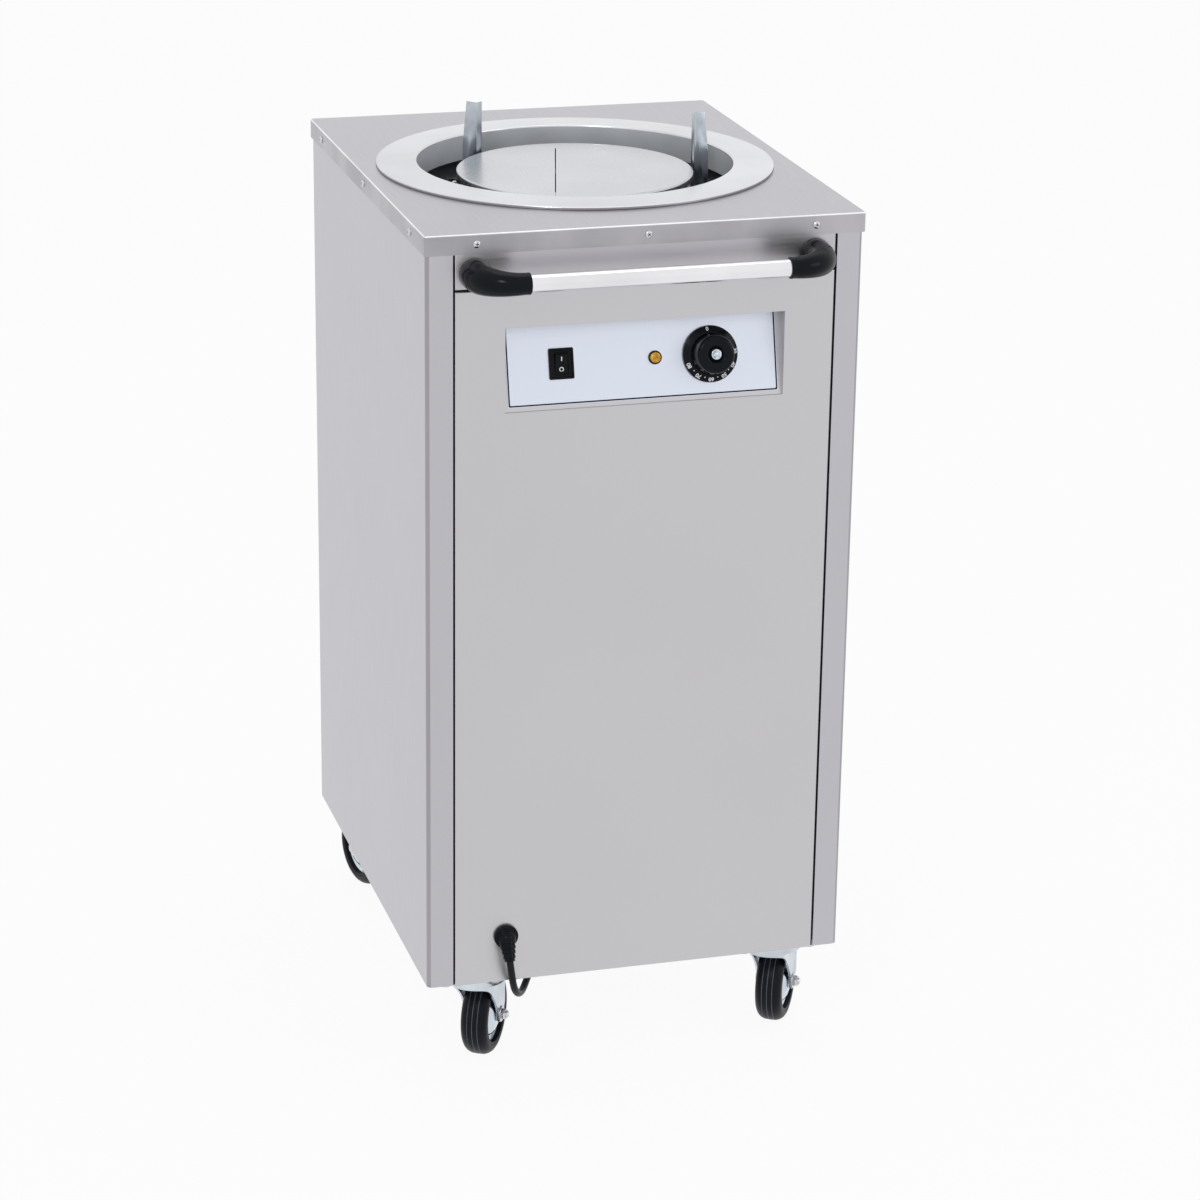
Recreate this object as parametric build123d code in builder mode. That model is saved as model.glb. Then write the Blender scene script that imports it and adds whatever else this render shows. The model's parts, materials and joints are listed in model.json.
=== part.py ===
"""Mobile plate warmer cabinet with one self-levelling plate well.

Millimetres, +Z up, front towards -Y. The origin is on the floor, midway across the whole object.
"""

from build123d import *

import math
import os

os.makedirs("parts", exist_ok=True)

# ---------------------------------------------------------------- driving dimensions
# Cabinet
cabinet_width = 450.0  # across the top cover
cabinet_depth = 540.0
body_height = 797.0  # underside of the body to the top surface
caster_height = 113.0  # floor to the underside of the body
body_sheet = 1.2
cover_sheet = 1.5
skirt_depth = 20.0
skirt_clearance = 0.2
cover_corner_radius = 3.0
cover_edge_radius = 1.4
body_corner_radius = 6.0
front_flange_width = 27.0
seat = 0.2  # gap left between pieces that sit on each other
panel_gap = 2.0  # open joint round the front panels
panel_return = 12.0
panel_edge_radius = 1.0
handle_panel_height = 54.0
panel_drop = 1.0  # the front panel reaches this far below the body

# Base pan, rear panel and cross rail
pan_wall_height = 25.0
pan_corner_radius = 6.0
rear_slot_length = 70.0
rear_slot_width = 5.0
rear_slot_pitch = 14.0
rear_slot_rows = 6
rear_slot_low = 90.0  # from the panel's lower edge
rear_slot_high = 150.0  # from its upper edge
rail_height = 23.0
rail_depth = 16.0
rail_drop = 49.0  # top surface to the top of the cross rail

# Top ring and platform
ring_outer_radius = 207.0
ring_inner_radius = 164.6
ring_height = 4.0
ring_sheet = 1.4
ring_roll_radius = 3.2
collar_depth = 24.0
ring_hole_clearance = 1.2
platform_radius = 123.7
platform_sheet = 2.0
platform_rim_depth = 7.0
slit_width = 1.2
slit_turn = 74.8  # degrees from the +X side
slit_offset = 20.2  # from the middle of the disc, to the left
slit_front = 118.5
slit_back = 96.7
platform_drop = 6.5  # top surface down to the raised platform

# Well deck, drum, guide rods and springs
deck_sheet = 1.5
deck_drop = 46.0
deck_hole_radius = 150.0
deck_rear_margin = 8.0
deck_flange = 20.0
drum_radius = 174.0
drum_sheet = 1.0
guide_circle_radius = 160.0  # rods and springs stand on this circle
rod_radius = 5.0
bush_wall = 3.0
bush_length = 20.0
running_clearance = 0.05
bush_housing_wall = 3.0
spring_radius = 7.0
spring_wire = 1.6
spring_spread = 12.0  # degrees either side of the cabinet's cross axis
spring_drop = 280.0  # deck to the carrier's lower ring
spring_pin_radius = 2.0
spring_pin_length = 26.0

# Carrier
carrier_ring_inner = 98.0
carrier_ring_outer = 118.0
carrier_plate = 4.0
carrier_leg_radius = 5.0
carrier_arm_width = 22.0
upper_arm_drop = 18.0  # deck underside to the upper arms

# Plate guides
guide_face_radius = 129.0
guide_sheet = 1.5
guide_web_foot = 19.0
guide_web_top = 14.0
guide_flange_width = 9.0
guide_rise = 46.0  # above the top surface
guide_foot_length = 26.0
guide_foot_width = 24.0
left_guide_angle = 128.0
right_guide_angle = 3.0

# Control recess
recess_width = 287.2
recess_height = 86.3
recess_drop = 139.9  # top surface to the middle of the recess
recess_tilt = 14.0  # degrees, top edge deepest
recess_bottom_depth = 3.0
recess_flange = 12.0
plate_sheet = 0.8
plate_margin = 4.0
switch_x = -83.5
lamp_x = 13.0
knob_x = 70.0
switch_bezel_width = 25.5
switch_bezel_height = 31.0
switch_bezel_thickness = 2.2
switch_cutout_width = 22.0
switch_cutout_height = 28.0
switch_body_depth = 26.0
rocker_width = 13.0
rocker_height = 21.0
rocker_tilt = 12.0  # degrees each side of level
rocker_clearance = 0.4
rocker_pin_radius = 1.4
rocker_pin_reach = 1.6
lamp_head_radius = 7.0
lamp_barrel_radius = 5.0
lamp_barrel_length = 28.0
lamp_lens_radius = 5.6
shaft_radius = 3.0
shaft_length = 20.0
thermostat_width = 44.0
thermostat_height = 38.0
thermostat_depth = 30.0
knob_skirt_radius = 28.5
knob_skirt_thickness = 4.0
knob_body_radius = 20.7
knob_height = 24.0
knob_lift = 1.0
knob_cap_radius = 6.0
knob_cap_height = 1.6

# Handle
bar_radius = 9.0
bar_wall = 1.5
handle_standoff = 45.0
handle_drop = 40.6
handle_inset = 52.0  # outside of the cover to the middle of the handle's base
elbow_reach = 42.0
elbow_base_radius = 16.5
elbow_end_radius = 10.8
elbow_bend_radius = 34.0
bar_insertion = 14.0
handle_bolt_radius = 3.0
handle_bolt_length = 18.0
handle_bolt_head_radius = 5.5

# Mains entry
gland_inset = 84.5  # outside of the cover to the gland
gland_drop = 746.8
gland_flange_radius = 12.8
gland_thread_radius = 8.0
gland_droop = 58.0  # degrees below level
cord_radius = 3.7
cord_length = 1820.0
cord_tail = 25.0  # from the last turn of the coil to the plug
cord_straight = 16.0  # out of the gland before it bends
cord_clip_drop = 9.0  # underside of the body to the middle of the clipped lead
cord_clip_width = 9.0

# Casters
caster_inset_x = 62.0  # outside of the cover to the swivel
caster_inset_y = 42.0
wheel_radius = 45.0
wheel_width = 29.0
hub_radius = 31.0
caster_trail = 33.0
caster_plate_x = 90.0
caster_plate_y = 56.0
caster_plate_sheet = 2.5
raceway_radius = 27.0
raceway_height = 12.0
fork_sheet = 2.5
fork_inside = 33.0
crown_edge = 6.0  # height of the crown's rim
leg_half_width = 9.0
axle_radius = 4.0
axle_head_radius = 6.5
caster_bolt_radius = 4.0
front_trail_heading = 59.0  # degrees from +X
rear_left_trail_heading = 104.0
rear_right_trail_heading = 70.0

# Fasteners
screw_radius = 2.0
screw_head_radius = 3.9
screw_head_height = 2.2
side_screw_inset = 61.0
front_screw_inset = 52.0

# ---------------------------------------------------------------- derived places
kingpin_x = cabinet_width / 2 - caster_inset_x
kingpin_y = cabinet_depth / 2 - caster_inset_y
handle_base_x = cabinet_width / 2 - handle_inset
elbow_end_x = handle_base_x - elbow_reach
gland_x = -(cabinet_width / 2 - gland_inset)
side_screw_spacing = cabinet_depth / 2 - side_screw_inset
front_screw_spacing = cabinet_width / 2 - front_screw_inset
top_z = caster_height + body_height
cover_under_z = top_z - cover_sheet
body_bottom_z = caster_height
body_top_z = cover_under_z
body_half_x = cabinet_width / 2 - cover_sheet - skirt_clearance
body_half_y = cabinet_depth / 2 - cover_sheet - skirt_clearance
inner_half_x = body_half_x - body_sheet
inner_half_y = body_half_y - body_sheet
panel_half_x = body_half_x - front_flange_width - panel_gap
handle_panel_bottom_z = body_top_z - handle_panel_height
front_panel_top_z = handle_panel_bottom_z - panel_gap
front_panel_bottom_z = body_bottom_z - panel_drop
behind_panel_y = -body_half_y + panel_return + seat
rear_panel_y = inner_half_y - body_sheet
deck_z = top_z - deck_drop
deck_under_z = deck_z - deck_sheet
pan_top_z = body_bottom_z + body_sheet
platform_z = top_z - platform_drop
platform_under_z = platform_z - platform_sheet
lower_ring_z = deck_z - spring_drop
upper_arm_z = deck_under_z - upper_arm_drop
bush_radius = rod_radius + bush_wall
housing_radius = bush_radius + bush_housing_wall
spring_angles = [spring_spread, -spring_spread, 180 - spring_spread, 180 + spring_spread]
guide_angles = {"left": left_guide_angle, "right": right_guide_angle}
handle_z = top_z - handle_drop
gland_z = top_z - gland_drop
axle_z = wheel_radius

# The control face leans back about the lower edge of the recess
recess_z = top_z - recess_drop
recess_low_z = recess_z - recess_height / 2
recess_high_z = recess_z + recess_height / 2
recess_low_y = -body_half_y + recess_bottom_depth
recess_rise_y = recess_height * math.tan(math.radians(recess_tilt))
recess_high_y = recess_low_y + recess_rise_y
tray_back_y = body_sheet / math.cos(math.radians(recess_tilt))
tray_lean = body_sheet * math.tan(math.radians(recess_tilt))
control_plane = Plane(
    origin=(0, (recess_low_y + recess_high_y) / 2, recess_z),
    x_dir=(1, 0, 0),
    z_dir=(0, -math.cos(math.radians(recess_tilt)), math.sin(math.radians(recess_tilt))),
)
plate_face = plate_sheet


pieces = {}


def keep(part, name):
    """Name a finished piece and hold it until all of them are placed about the origin."""
    part.label = name
    pieces[name] = part


def polar(radius, angle, z=0.0):
    """A point at a radius and an angle in degrees about the cabinet's upright axis."""
    turn = math.radians(angle)
    return Vector(radius * math.cos(turn), radius * math.sin(turn), z)


# ---------------------------------------------------------------- cabinet body


def make_side_panel(side):
    """One side with its front and rear flanges, bent from a single sheet; side is -1 or 1."""
    keep = front_flange_width
    with BuildPart() as panel:
        with BuildSketch(Plane.XY.offset(body_bottom_z)):
            RectangleRounded(2 * body_half_x, 2 * body_half_y, body_corner_radius)
            RectangleRounded(
                2 * inner_half_x, 2 * inner_half_y, body_corner_radius - body_sheet, mode=Mode.SUBTRACT
            )
            with Locations((side * (body_half_x - keep / 2), 0)):
                Rectangle(keep, 2 * body_half_y, mode=Mode.INTERSECT)
        extrude(amount=body_top_z - body_bottom_z)
    return panel.part


for label, side in (("left", -1), ("right", 1)):
    keep(make_side_panel(side), f"{label}_side_panel")

rear_top_z = body_top_z - seat
with BuildPart() as rear_panel:
    with BuildSketch(Plane.XZ.offset(-inner_half_y)):
        with Locations((0, (body_bottom_z + rear_top_z) / 2)):
            Rectangle(2 * (inner_half_x - body_corner_radius), rear_top_z - body_bottom_z)
        for slot_z in (body_bottom_z + rear_slot_low, rear_top_z - rear_slot_high):
            with Locations((0, slot_z)):
                with GridLocations(rear_slot_length * 1.4, rear_slot_pitch, 2, rear_slot_rows):
                    SlotOverall(rear_slot_length, rear_slot_width, mode=Mode.SUBTRACT)
    extrude(amount=body_sheet)
keep(rear_panel.part, "rear_panel")

pan_half_x = inner_half_x - seat
pan_front_y = behind_panel_y
pan_rear_y = rear_panel_y - seat
pan_depth = pan_rear_y - pan_front_y
pan_mid_y = (pan_rear_y + pan_front_y) / 2
caster_points = [(x * kingpin_x, y * kingpin_y) for y in (-1, 1) for x in (-1, 1)]
bolt_inset = 8.5
bolt_span_x = caster_plate_x - 2 * bolt_inset
bolt_span_y = caster_plate_y - 2 * bolt_inset
with BuildPart() as base_pan:
    with BuildSketch(Plane.XY.offset(body_bottom_z)):
        with Locations((0, pan_mid_y)):
            RectangleRounded(2 * pan_half_x, pan_depth, pan_corner_radius)
    extrude(amount=pan_wall_height)
    with BuildSketch(Plane.XY.offset(body_bottom_z + body_sheet)):
        with Locations((0, pan_mid_y)):
            RectangleRounded(
                2 * (pan_half_x - body_sheet),
                pan_depth - 2 * body_sheet,
                pan_corner_radius - body_sheet,
            )
    extrude(amount=pan_wall_height, mode=Mode.SUBTRACT)
    with BuildSketch(Plane.XY.offset(body_bottom_z)):
        with Locations(*caster_points):
            with GridLocations(bolt_span_x, bolt_span_y, 2, 2):
                Circle(caster_bolt_radius)
    extrude(amount=body_sheet, mode=Mode.SUBTRACT)
keep(base_pan.part, "base_pan")

with BuildPart() as top_cover:
    with BuildSketch(Plane.XY.offset(top_z - skirt_depth)):
        RectangleRounded(cabinet_width, cabinet_depth, cover_corner_radius)
    extrude(amount=skirt_depth)
    fillet(top_cover.edges().group_by(Axis.Z)[-1], radius=cover_edge_radius)
    with BuildSketch(Plane.XY.offset(top_z - skirt_depth)):
        RectangleRounded(
            cabinet_width - 2 * cover_sheet,
            cabinet_depth - 2 * cover_sheet,
            cover_corner_radius - cover_sheet,
        )
    extrude(amount=skirt_depth - cover_sheet, mode=Mode.SUBTRACT)
    with BuildSketch(Plane.XY.offset(cover_under_z)):
        Circle(ring_inner_radius + ring_sheet + ring_hole_clearance)
    extrude(amount=cover_sheet, mode=Mode.SUBTRACT)
keep(top_cover.part, "top_cover")

# The ring is a pressed flange with a rolled outer edge and a collar that hangs into the well
collar_low_z = top_z - collar_depth
with BuildPart() as top_ring:
    with BuildSketch(Plane.XZ):
        with BuildLine():
            FilletPolyline(
                (ring_inner_radius, collar_low_z),
                (ring_inner_radius, top_z + ring_height),
                (ring_outer_radius, top_z + ring_height),
                (ring_outer_radius, top_z),
                radius=ring_roll_radius,
            )
            FilletPolyline(
                (ring_outer_radius, top_z),
                (ring_outer_radius - ring_sheet, top_z),
                (ring_outer_radius - ring_sheet, top_z + ring_height - ring_sheet),
                (ring_inner_radius + ring_sheet, top_z + ring_height - ring_sheet),
                (ring_inner_radius + ring_sheet, collar_low_z),
                (ring_inner_radius, collar_low_z),
                radius=[0, ring_roll_radius - ring_sheet, ring_roll_radius - ring_sheet, 0],
            )
        make_face()
    revolve(axis=Axis.Z)
keep(top_ring.part, "top_ring")

# ---------------------------------------------------------------- front panels


def make_tray_panel(low_z, high_z):
    """A front panel with its four edges turned back, open at the rear."""
    with BuildPart() as panel:
        with BuildSketch(Plane.XZ.offset(body_half_y)):
            with Locations((0, (low_z + high_z) / 2)):
                Rectangle(2 * panel_half_x, high_z - low_z)
        extrude(amount=-panel_return)
        fillet(panel.edges().group_by(Axis.Y)[0], radius=panel_edge_radius)
        with BuildSketch(Plane.XZ.offset(body_half_y - body_sheet)):
            with Locations((0, (low_z + high_z) / 2)):
                Rectangle(2 * (panel_half_x - body_sheet), high_z - low_z - 2 * body_sheet)
        extrude(amount=-panel_return, mode=Mode.SUBTRACT)
    return panel.part


with BuildPart() as front_panel:
    add(make_tray_panel(front_panel_bottom_z, front_panel_top_z))
    with BuildSketch(Plane.XZ.offset(body_half_y)):
        with Locations((0, recess_z)):
            Rectangle(recess_width, recess_height)
        with Locations((gland_x, gland_z)):
            Circle(gland_thread_radius)
    extrude(amount=-body_sheet, mode=Mode.SUBTRACT)
keep(front_panel.part, "front_panel")

with BuildPart() as handle_panel:
    add(make_tray_panel(handle_panel_bottom_z, body_top_z - seat))
    with BuildSketch(Plane.XZ.offset(body_half_y)):
        with Locations((-handle_base_x, handle_z), (handle_base_x, handle_z)):
            Circle(handle_bolt_radius)
    extrude(amount=-body_sheet, mode=Mode.SUBTRACT)
keep(handle_panel.part, "handle_panel")

rail_top_z = top_z - rail_drop
with BuildPart() as front_rail:
    with Locations((0, behind_panel_y + rail_depth / 2, rail_top_z - rail_height / 2)):
        Box(2 * (inner_half_x - seat), rail_depth, rail_height)
    with Locations((0, behind_panel_y + rail_depth / 2 + body_sheet, rail_top_z - rail_height / 2)):
        Box(2 * inner_half_x, rail_depth, rail_height - 2 * body_sheet, mode=Mode.SUBTRACT)
keep(front_rail.part, "front_rail")

# ---------------------------------------------------------------- control recess

half_recess = recess_width / 2
with BuildPart() as control_recess:
    with BuildSketch(Plane.YZ):
        with BuildLine():
            Polyline(
                (-inner_half_y, recess_low_z - body_sheet),
                (recess_low_y + tray_back_y - tray_lean, recess_low_z - body_sheet),
                (recess_high_y + tray_back_y + tray_lean, recess_high_z + body_sheet),
                (-inner_half_y, recess_high_z + body_sheet),
                close=True,
            )
        make_face()
    extrude(amount=half_recess + body_sheet, both=True)
    with BuildSketch(Plane.XZ.offset(inner_half_y)):
        with Locations((0, recess_z)):
            Rectangle(recess_width + 2 * recess_flange, recess_height + 2 * recess_flange)
    extrude(amount=-body_sheet)
    with BuildSketch(Plane.YZ):
        with BuildLine():
            Polyline(
                (-body_half_y, recess_low_z),
                (recess_low_y, recess_low_z),
                (recess_high_y, recess_high_z),
                (-body_half_y, recess_high_z),
                close=True,
            )
        make_face()
    extrude(amount=half_recess, both=True, mode=Mode.SUBTRACT)
    with BuildSketch(control_plane):
        with Locations((switch_x, 0)):
            Rectangle(switch_cutout_width, switch_cutout_height)
        with Locations((lamp_x, 0)):
            Circle(lamp_barrel_radius)
        with Locations((knob_x, 0)):
            Circle(shaft_radius + bush_wall)
    extrude(amount=-2 * body_sheet, mode=Mode.SUBTRACT)
keep(control_recess.part, "control_recess")

plate_length = recess_height / math.cos(math.radians(recess_tilt)) - 2 * plate_margin
with BuildPart() as control_plate:
    with BuildSketch(control_plane):
        Rectangle(recess_width - 2 * plate_margin, plate_length)
        with Locations((switch_x, 0)):
            Rectangle(switch_cutout_width, switch_cutout_height, mode=Mode.SUBTRACT)
        with Locations((lamp_x, 0)):
            Circle(lamp_barrel_radius, mode=Mode.SUBTRACT)
        with Locations((knob_x, 0)):
            Circle(shaft_radius + bush_wall, mode=Mode.SUBTRACT)
    extrude(amount=plate_sheet)
keep(control_plate.part, "control_plate")

# Rocker switch: the housing snaps into the plate, the rocker rocks on a pin across it
pocket_depth = 8.0
pivot_depth = 2.0
pivot_plane = control_plane.offset(plate_face + switch_bezel_thickness - pivot_depth)
with BuildPart() as switch_housing:
    with BuildSketch(control_plane.offset(plate_face)):
        with Locations((switch_x, 0)):
            RectangleRounded(switch_bezel_width, switch_bezel_height, 1.2)
    extrude(amount=switch_bezel_thickness)
    fillet(switch_housing.faces().sort_by(Axis.Y)[0].edges(), radius=0.8)
    with BuildSketch(control_plane.offset(plate_face)):
        with Locations((switch_x, 0)):
            Rectangle(switch_cutout_width - 2 * seat, switch_cutout_height - 2 * seat)
    extrude(amount=-switch_body_depth)
    with BuildSketch(control_plane.offset(plate_face - switch_body_depth)):
        with Locations((switch_x, 0)):
            with GridLocations(0, 8, 1, 3):
                Rectangle(6.3, 0.8)
    extrude(amount=-8)
    with BuildSketch(control_plane.offset(plate_face + switch_bezel_thickness)):
        with Locations((switch_x, 0)):
            Rectangle(rocker_width + 2 * rocker_clearance, rocker_height + 2 * rocker_clearance)
    extrude(amount=-pocket_depth, mode=Mode.SUBTRACT)
    pin_start = pivot_plane.from_local_coords((switch_x, 0, 0))
    with BuildSketch(Plane(pin_start, x_dir=pivot_plane.y_dir, z_dir=(1, 0, 0))):
        Circle(rocker_pin_radius + running_clearance)
    extrude(amount=rocker_width / 2 + rocker_pin_reach + rocker_clearance, both=True, mode=Mode.SUBTRACT)
keep(switch_housing.part, "switch_housing")

# The rocker's section is a shallow V with a rounded back that clears the pocket as it rocks
rocker_face_angle = math.radians(rocker_tilt)
half_rocker = rocker_height / 2 - 0.6
rocker_tip = half_rocker * math.tan(rocker_face_angle)
rocker_top = 2.6
rocker_plane = Plane(
    origin=pivot_plane.from_local_coords((switch_x, 0, 0)),
    x_dir=(1, 0, 0),
    z_dir=pivot_plane.z_dir,
).rotated((rocker_tilt, 0, 0))
with BuildPart() as switch_rocker:
    with BuildSketch(Plane(rocker_plane.origin, x_dir=rocker_plane.y_dir, z_dir=rocker_plane.x_dir)):
        with BuildLine():
            Polyline(
                (-half_rocker, rocker_top - 0.4),
                (-half_rocker, -1.0),
                (-2.6, -5.2),
                (2.6, -5.2),
                (half_rocker, -1.0),
                (half_rocker, rocker_top - 0.4),
                (0, rocker_top - rocker_tip * 0.55),
                close=True,
            )
        make_face()
    extrude(amount=rocker_width / 2 - rocker_clearance / 2, both=True)
    with BuildSketch(Plane(rocker_plane.origin, x_dir=rocker_plane.y_dir, z_dir=rocker_plane.x_dir)):
        Circle(rocker_pin_radius)
    extrude(amount=rocker_width / 2 + rocker_pin_reach, both=True)
keep(switch_rocker.part, "switch_rocker")

# Pilot lamp
with BuildPart() as lamp_body:
    with BuildSketch(control_plane.offset(plate_face)):
        with Locations((lamp_x, 0)):
            Circle(lamp_head_radius)
    extrude(amount=2.0)
    with BuildSketch(control_plane.offset(plate_face)):
        with Locations((lamp_x, 0)):
            Circle(lamp_barrel_radius - running_clearance)
    extrude(amount=-lamp_barrel_length)
    with BuildSketch(control_plane.offset(plate_face + 2.0)):
        with Locations((lamp_x, 0)):
            Circle(lamp_lens_radius + running_clearance)
    extrude(amount=-1.2, mode=Mode.SUBTRACT)
keep(lamp_body.part, "lamp_body")

lens_rise = 3.6
with BuildPart() as lamp_lens:
    with BuildSketch(control_plane.offset(plate_face + 0.8)):
        with Locations((lamp_x, 0)):
            Circle(lamp_lens_radius)
    extrude(amount=lens_rise)
    fillet(lamp_lens.faces().sort_by(Axis.Y)[0].edges(), radius=2.4)
keep(lamp_lens.part, "lamp_lens")

# Thermostat: body behind the tray, bush through it, shaft into the knob
with BuildPart() as thermostat_body:
    with BuildSketch(control_plane.offset(-body_sheet)):
        with Locations((knob_x, 0)):
            Rectangle(thermostat_width, thermostat_height)
    extrude(amount=-thermostat_depth)
    fillet(thermostat_body.edges().filter_by(Axis.X), radius=3)
    with BuildSketch(control_plane.offset(-body_sheet)):
        with Locations((knob_x, 0)):
            Circle(shaft_radius + bush_wall - seat)
    extrude(amount=body_sheet + plate_face)
    with BuildSketch(control_plane):
        with Locations((knob_x, 0)):
            Circle(shaft_radius)
    extrude(amount=shaft_length)
keep(thermostat_body.part, "thermostat_body")

knob_low = plate_face + knob_lift
knob_top = knob_low + knob_height
knob_plane = Plane(
    origin=control_plane.from_local_coords((knob_x, 0, 0)), x_dir=(1, 0, 0), z_dir=control_plane.y_dir
)
knob_axis = Axis(knob_plane.origin, control_plane.z_dir)
bore_radius = shaft_radius + running_clearance
with BuildPart() as knob:
    with BuildSketch(knob_plane):
        with BuildLine():
            Polyline(
                (bore_radius, -knob_low),
                (knob_skirt_radius, -knob_low),
                (knob_skirt_radius, -knob_low - 1.6),
                (knob_body_radius + 2.0, -knob_low - knob_skirt_thickness),
                (knob_body_radius, -knob_low - knob_skirt_thickness - 1.0),
                (knob_body_radius - 1.8, -knob_top + 4.0),
            )
            ThreePointArc(
                (knob_body_radius - 1.8, -knob_top + 4.0),
                (knob_body_radius - 3.4, -knob_top + 1.2),
                (knob_body_radius - 6.6, -knob_top),
            )
            Polyline(
                (knob_body_radius - 6.6, -knob_top),
                (knob_cap_radius, -knob_top + knob_cap_height),
                (bore_radius, -knob_top + knob_cap_height),
                (bore_radius, -knob_low),
            )
        make_face()
    revolve(axis=knob_axis)
keep(knob.part, "knob")

with BuildPart() as knob_cap:
    with BuildSketch(control_plane.offset(knob_top - knob_cap_height)):
        with Locations((knob_x, 0)):
            Circle(knob_cap_radius)
    extrude(amount=knob_cap_height)
    fillet(knob_cap.faces().sort_by(Axis.Y)[0].edges(), radius=0.7)
keep(knob_cap.part, "knob_cap")

# ---------------------------------------------------------------- handle

bar_y = -body_half_y - handle_standoff
bar_half = elbow_end_x + bar_insertion
with BuildPart() as handle_bar:
    with BuildSketch(Plane.YZ.offset(-bar_half)):
        with Locations((bar_y, handle_z)):
            Circle(bar_radius)
            Circle(bar_radius - bar_wall, mode=Mode.SUBTRACT)
    extrude(amount=2 * bar_half)
keep(handle_bar.part, "handle_bar")


def make_elbow():
    """The left handle end: a tapered quarter bend from the panel round to the bar."""
    side = -1
    steps = 5
    bend_y = -body_half_y - (handle_standoff - elbow_bend_radius)
    centre = Vector(side * (handle_base_x - elbow_bend_radius), bend_y, handle_z)
    with BuildPart() as elbow:
        with BuildSketch(Plane.XZ.offset(body_half_y)):
            with Locations((side * handle_base_x, handle_z)):
                Circle(elbow_base_radius)
        for step in range(steps + 1):
            share = step / steps
            turn = math.radians(90 * share)
            along = Vector(-side * math.sin(turn), -math.cos(turn), 0)
            out = Vector(side * math.cos(turn), -math.sin(turn), 0)
            radius = elbow_base_radius + (elbow_end_radius - elbow_base_radius) * share**0.8
            with BuildSketch(Plane(centre + out * elbow_bend_radius, x_dir=out, z_dir=along)):
                Circle(radius)
        with BuildSketch(Plane((side * elbow_end_x, bar_y, handle_z), (0, 1, 0), (-side, 0, 0))):
            Circle(elbow_end_radius)
        loft()
        with BuildSketch(Plane((side * elbow_end_x, bar_y, handle_z), (0, 1, 0), (side, 0, 0))):
            Circle(bar_radius)
        extrude(amount=bar_insertion, mode=Mode.SUBTRACT)
        with BuildSketch(Plane.XZ.offset(body_half_y)):
            with Locations((side * handle_base_x, handle_z)):
                Circle(handle_bolt_radius)
        extrude(amount=handle_bolt_length, mode=Mode.SUBTRACT)
    return elbow.part


left_elbow = make_elbow()
keep(left_elbow, "handle_elbow_left")
keep(left_elbow.mirror(Plane.YZ), "handle_elbow_right")

with BuildPart() as handle_bolts:
    with BuildSketch(Plane.XZ.offset(inner_half_y)):
        with Locations((-handle_base_x, handle_z), (handle_base_x, handle_z)):
            Circle(handle_bolt_head_radius)
    extrude(amount=-5)
    with BuildSketch(Plane.XZ.offset(inner_half_y)):
        with Locations((-handle_base_x, handle_z), (handle_base_x, handle_z)):
            Circle(handle_bolt_radius)
    extrude(amount=handle_bolt_length - 2)
keep(handle_bolts.part, "handle_bolts")

# ---------------------------------------------------------------- deck, drum and rods

deck_front_y = behind_panel_y + rail_depth + seat
deck_rear_y = rear_panel_y - deck_rear_margin
deck_half_x = inner_half_x - seat
spring_points = [polar(guide_circle_radius, angle) for angle in spring_angles]
rod_points = [(0, -guide_circle_radius), (0, guide_circle_radius)]
guide_screw_radius = guide_face_radius + guide_web_foot + guide_foot_length / 2
guide_screw_points = [polar(guide_screw_radius, angle) for angle in guide_angles.values()]
hook_hole_radius = 5.0
with BuildPart() as well_deck:
    with Locations((0, (deck_front_y + deck_rear_y) / 2, deck_z - deck_flange / 2)):
        Box(2 * deck_half_x, deck_rear_y - deck_front_y, deck_flange)
    with Locations((0, (deck_front_y + deck_rear_y) / 2, deck_under_z - deck_flange / 2)):
        Box(2 * (deck_half_x - deck_sheet), cabinet_depth, deck_flange, mode=Mode.SUBTRACT)
    with BuildSketch(Plane.XY.offset(deck_z)):
        Circle(deck_hole_radius)
        with Locations(*spring_points):
            Circle(hook_hole_radius)
        with Locations(*guide_screw_points):
            Circle(screw_radius)
    extrude(amount=-deck_sheet, mode=Mode.SUBTRACT)
keep(well_deck.part, "well_deck")

with BuildPart() as well_drum:
    with BuildSketch(Plane.XY.offset(pan_top_z)):
        Circle(drum_radius)
        Circle(drum_radius - drum_sheet, mode=Mode.SUBTRACT)
    extrude(amount=deck_under_z - pan_top_z)
keep(well_drum.part, "well_drum")

with BuildPart() as guide_rods:
    with BuildSketch(Plane.XY.offset(pan_top_z)):
        with Locations(*rod_points):
            Circle(rod_radius)
    extrude(amount=deck_under_z - pan_top_z)
keep(guide_rods.part, "guide_rods")


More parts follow.
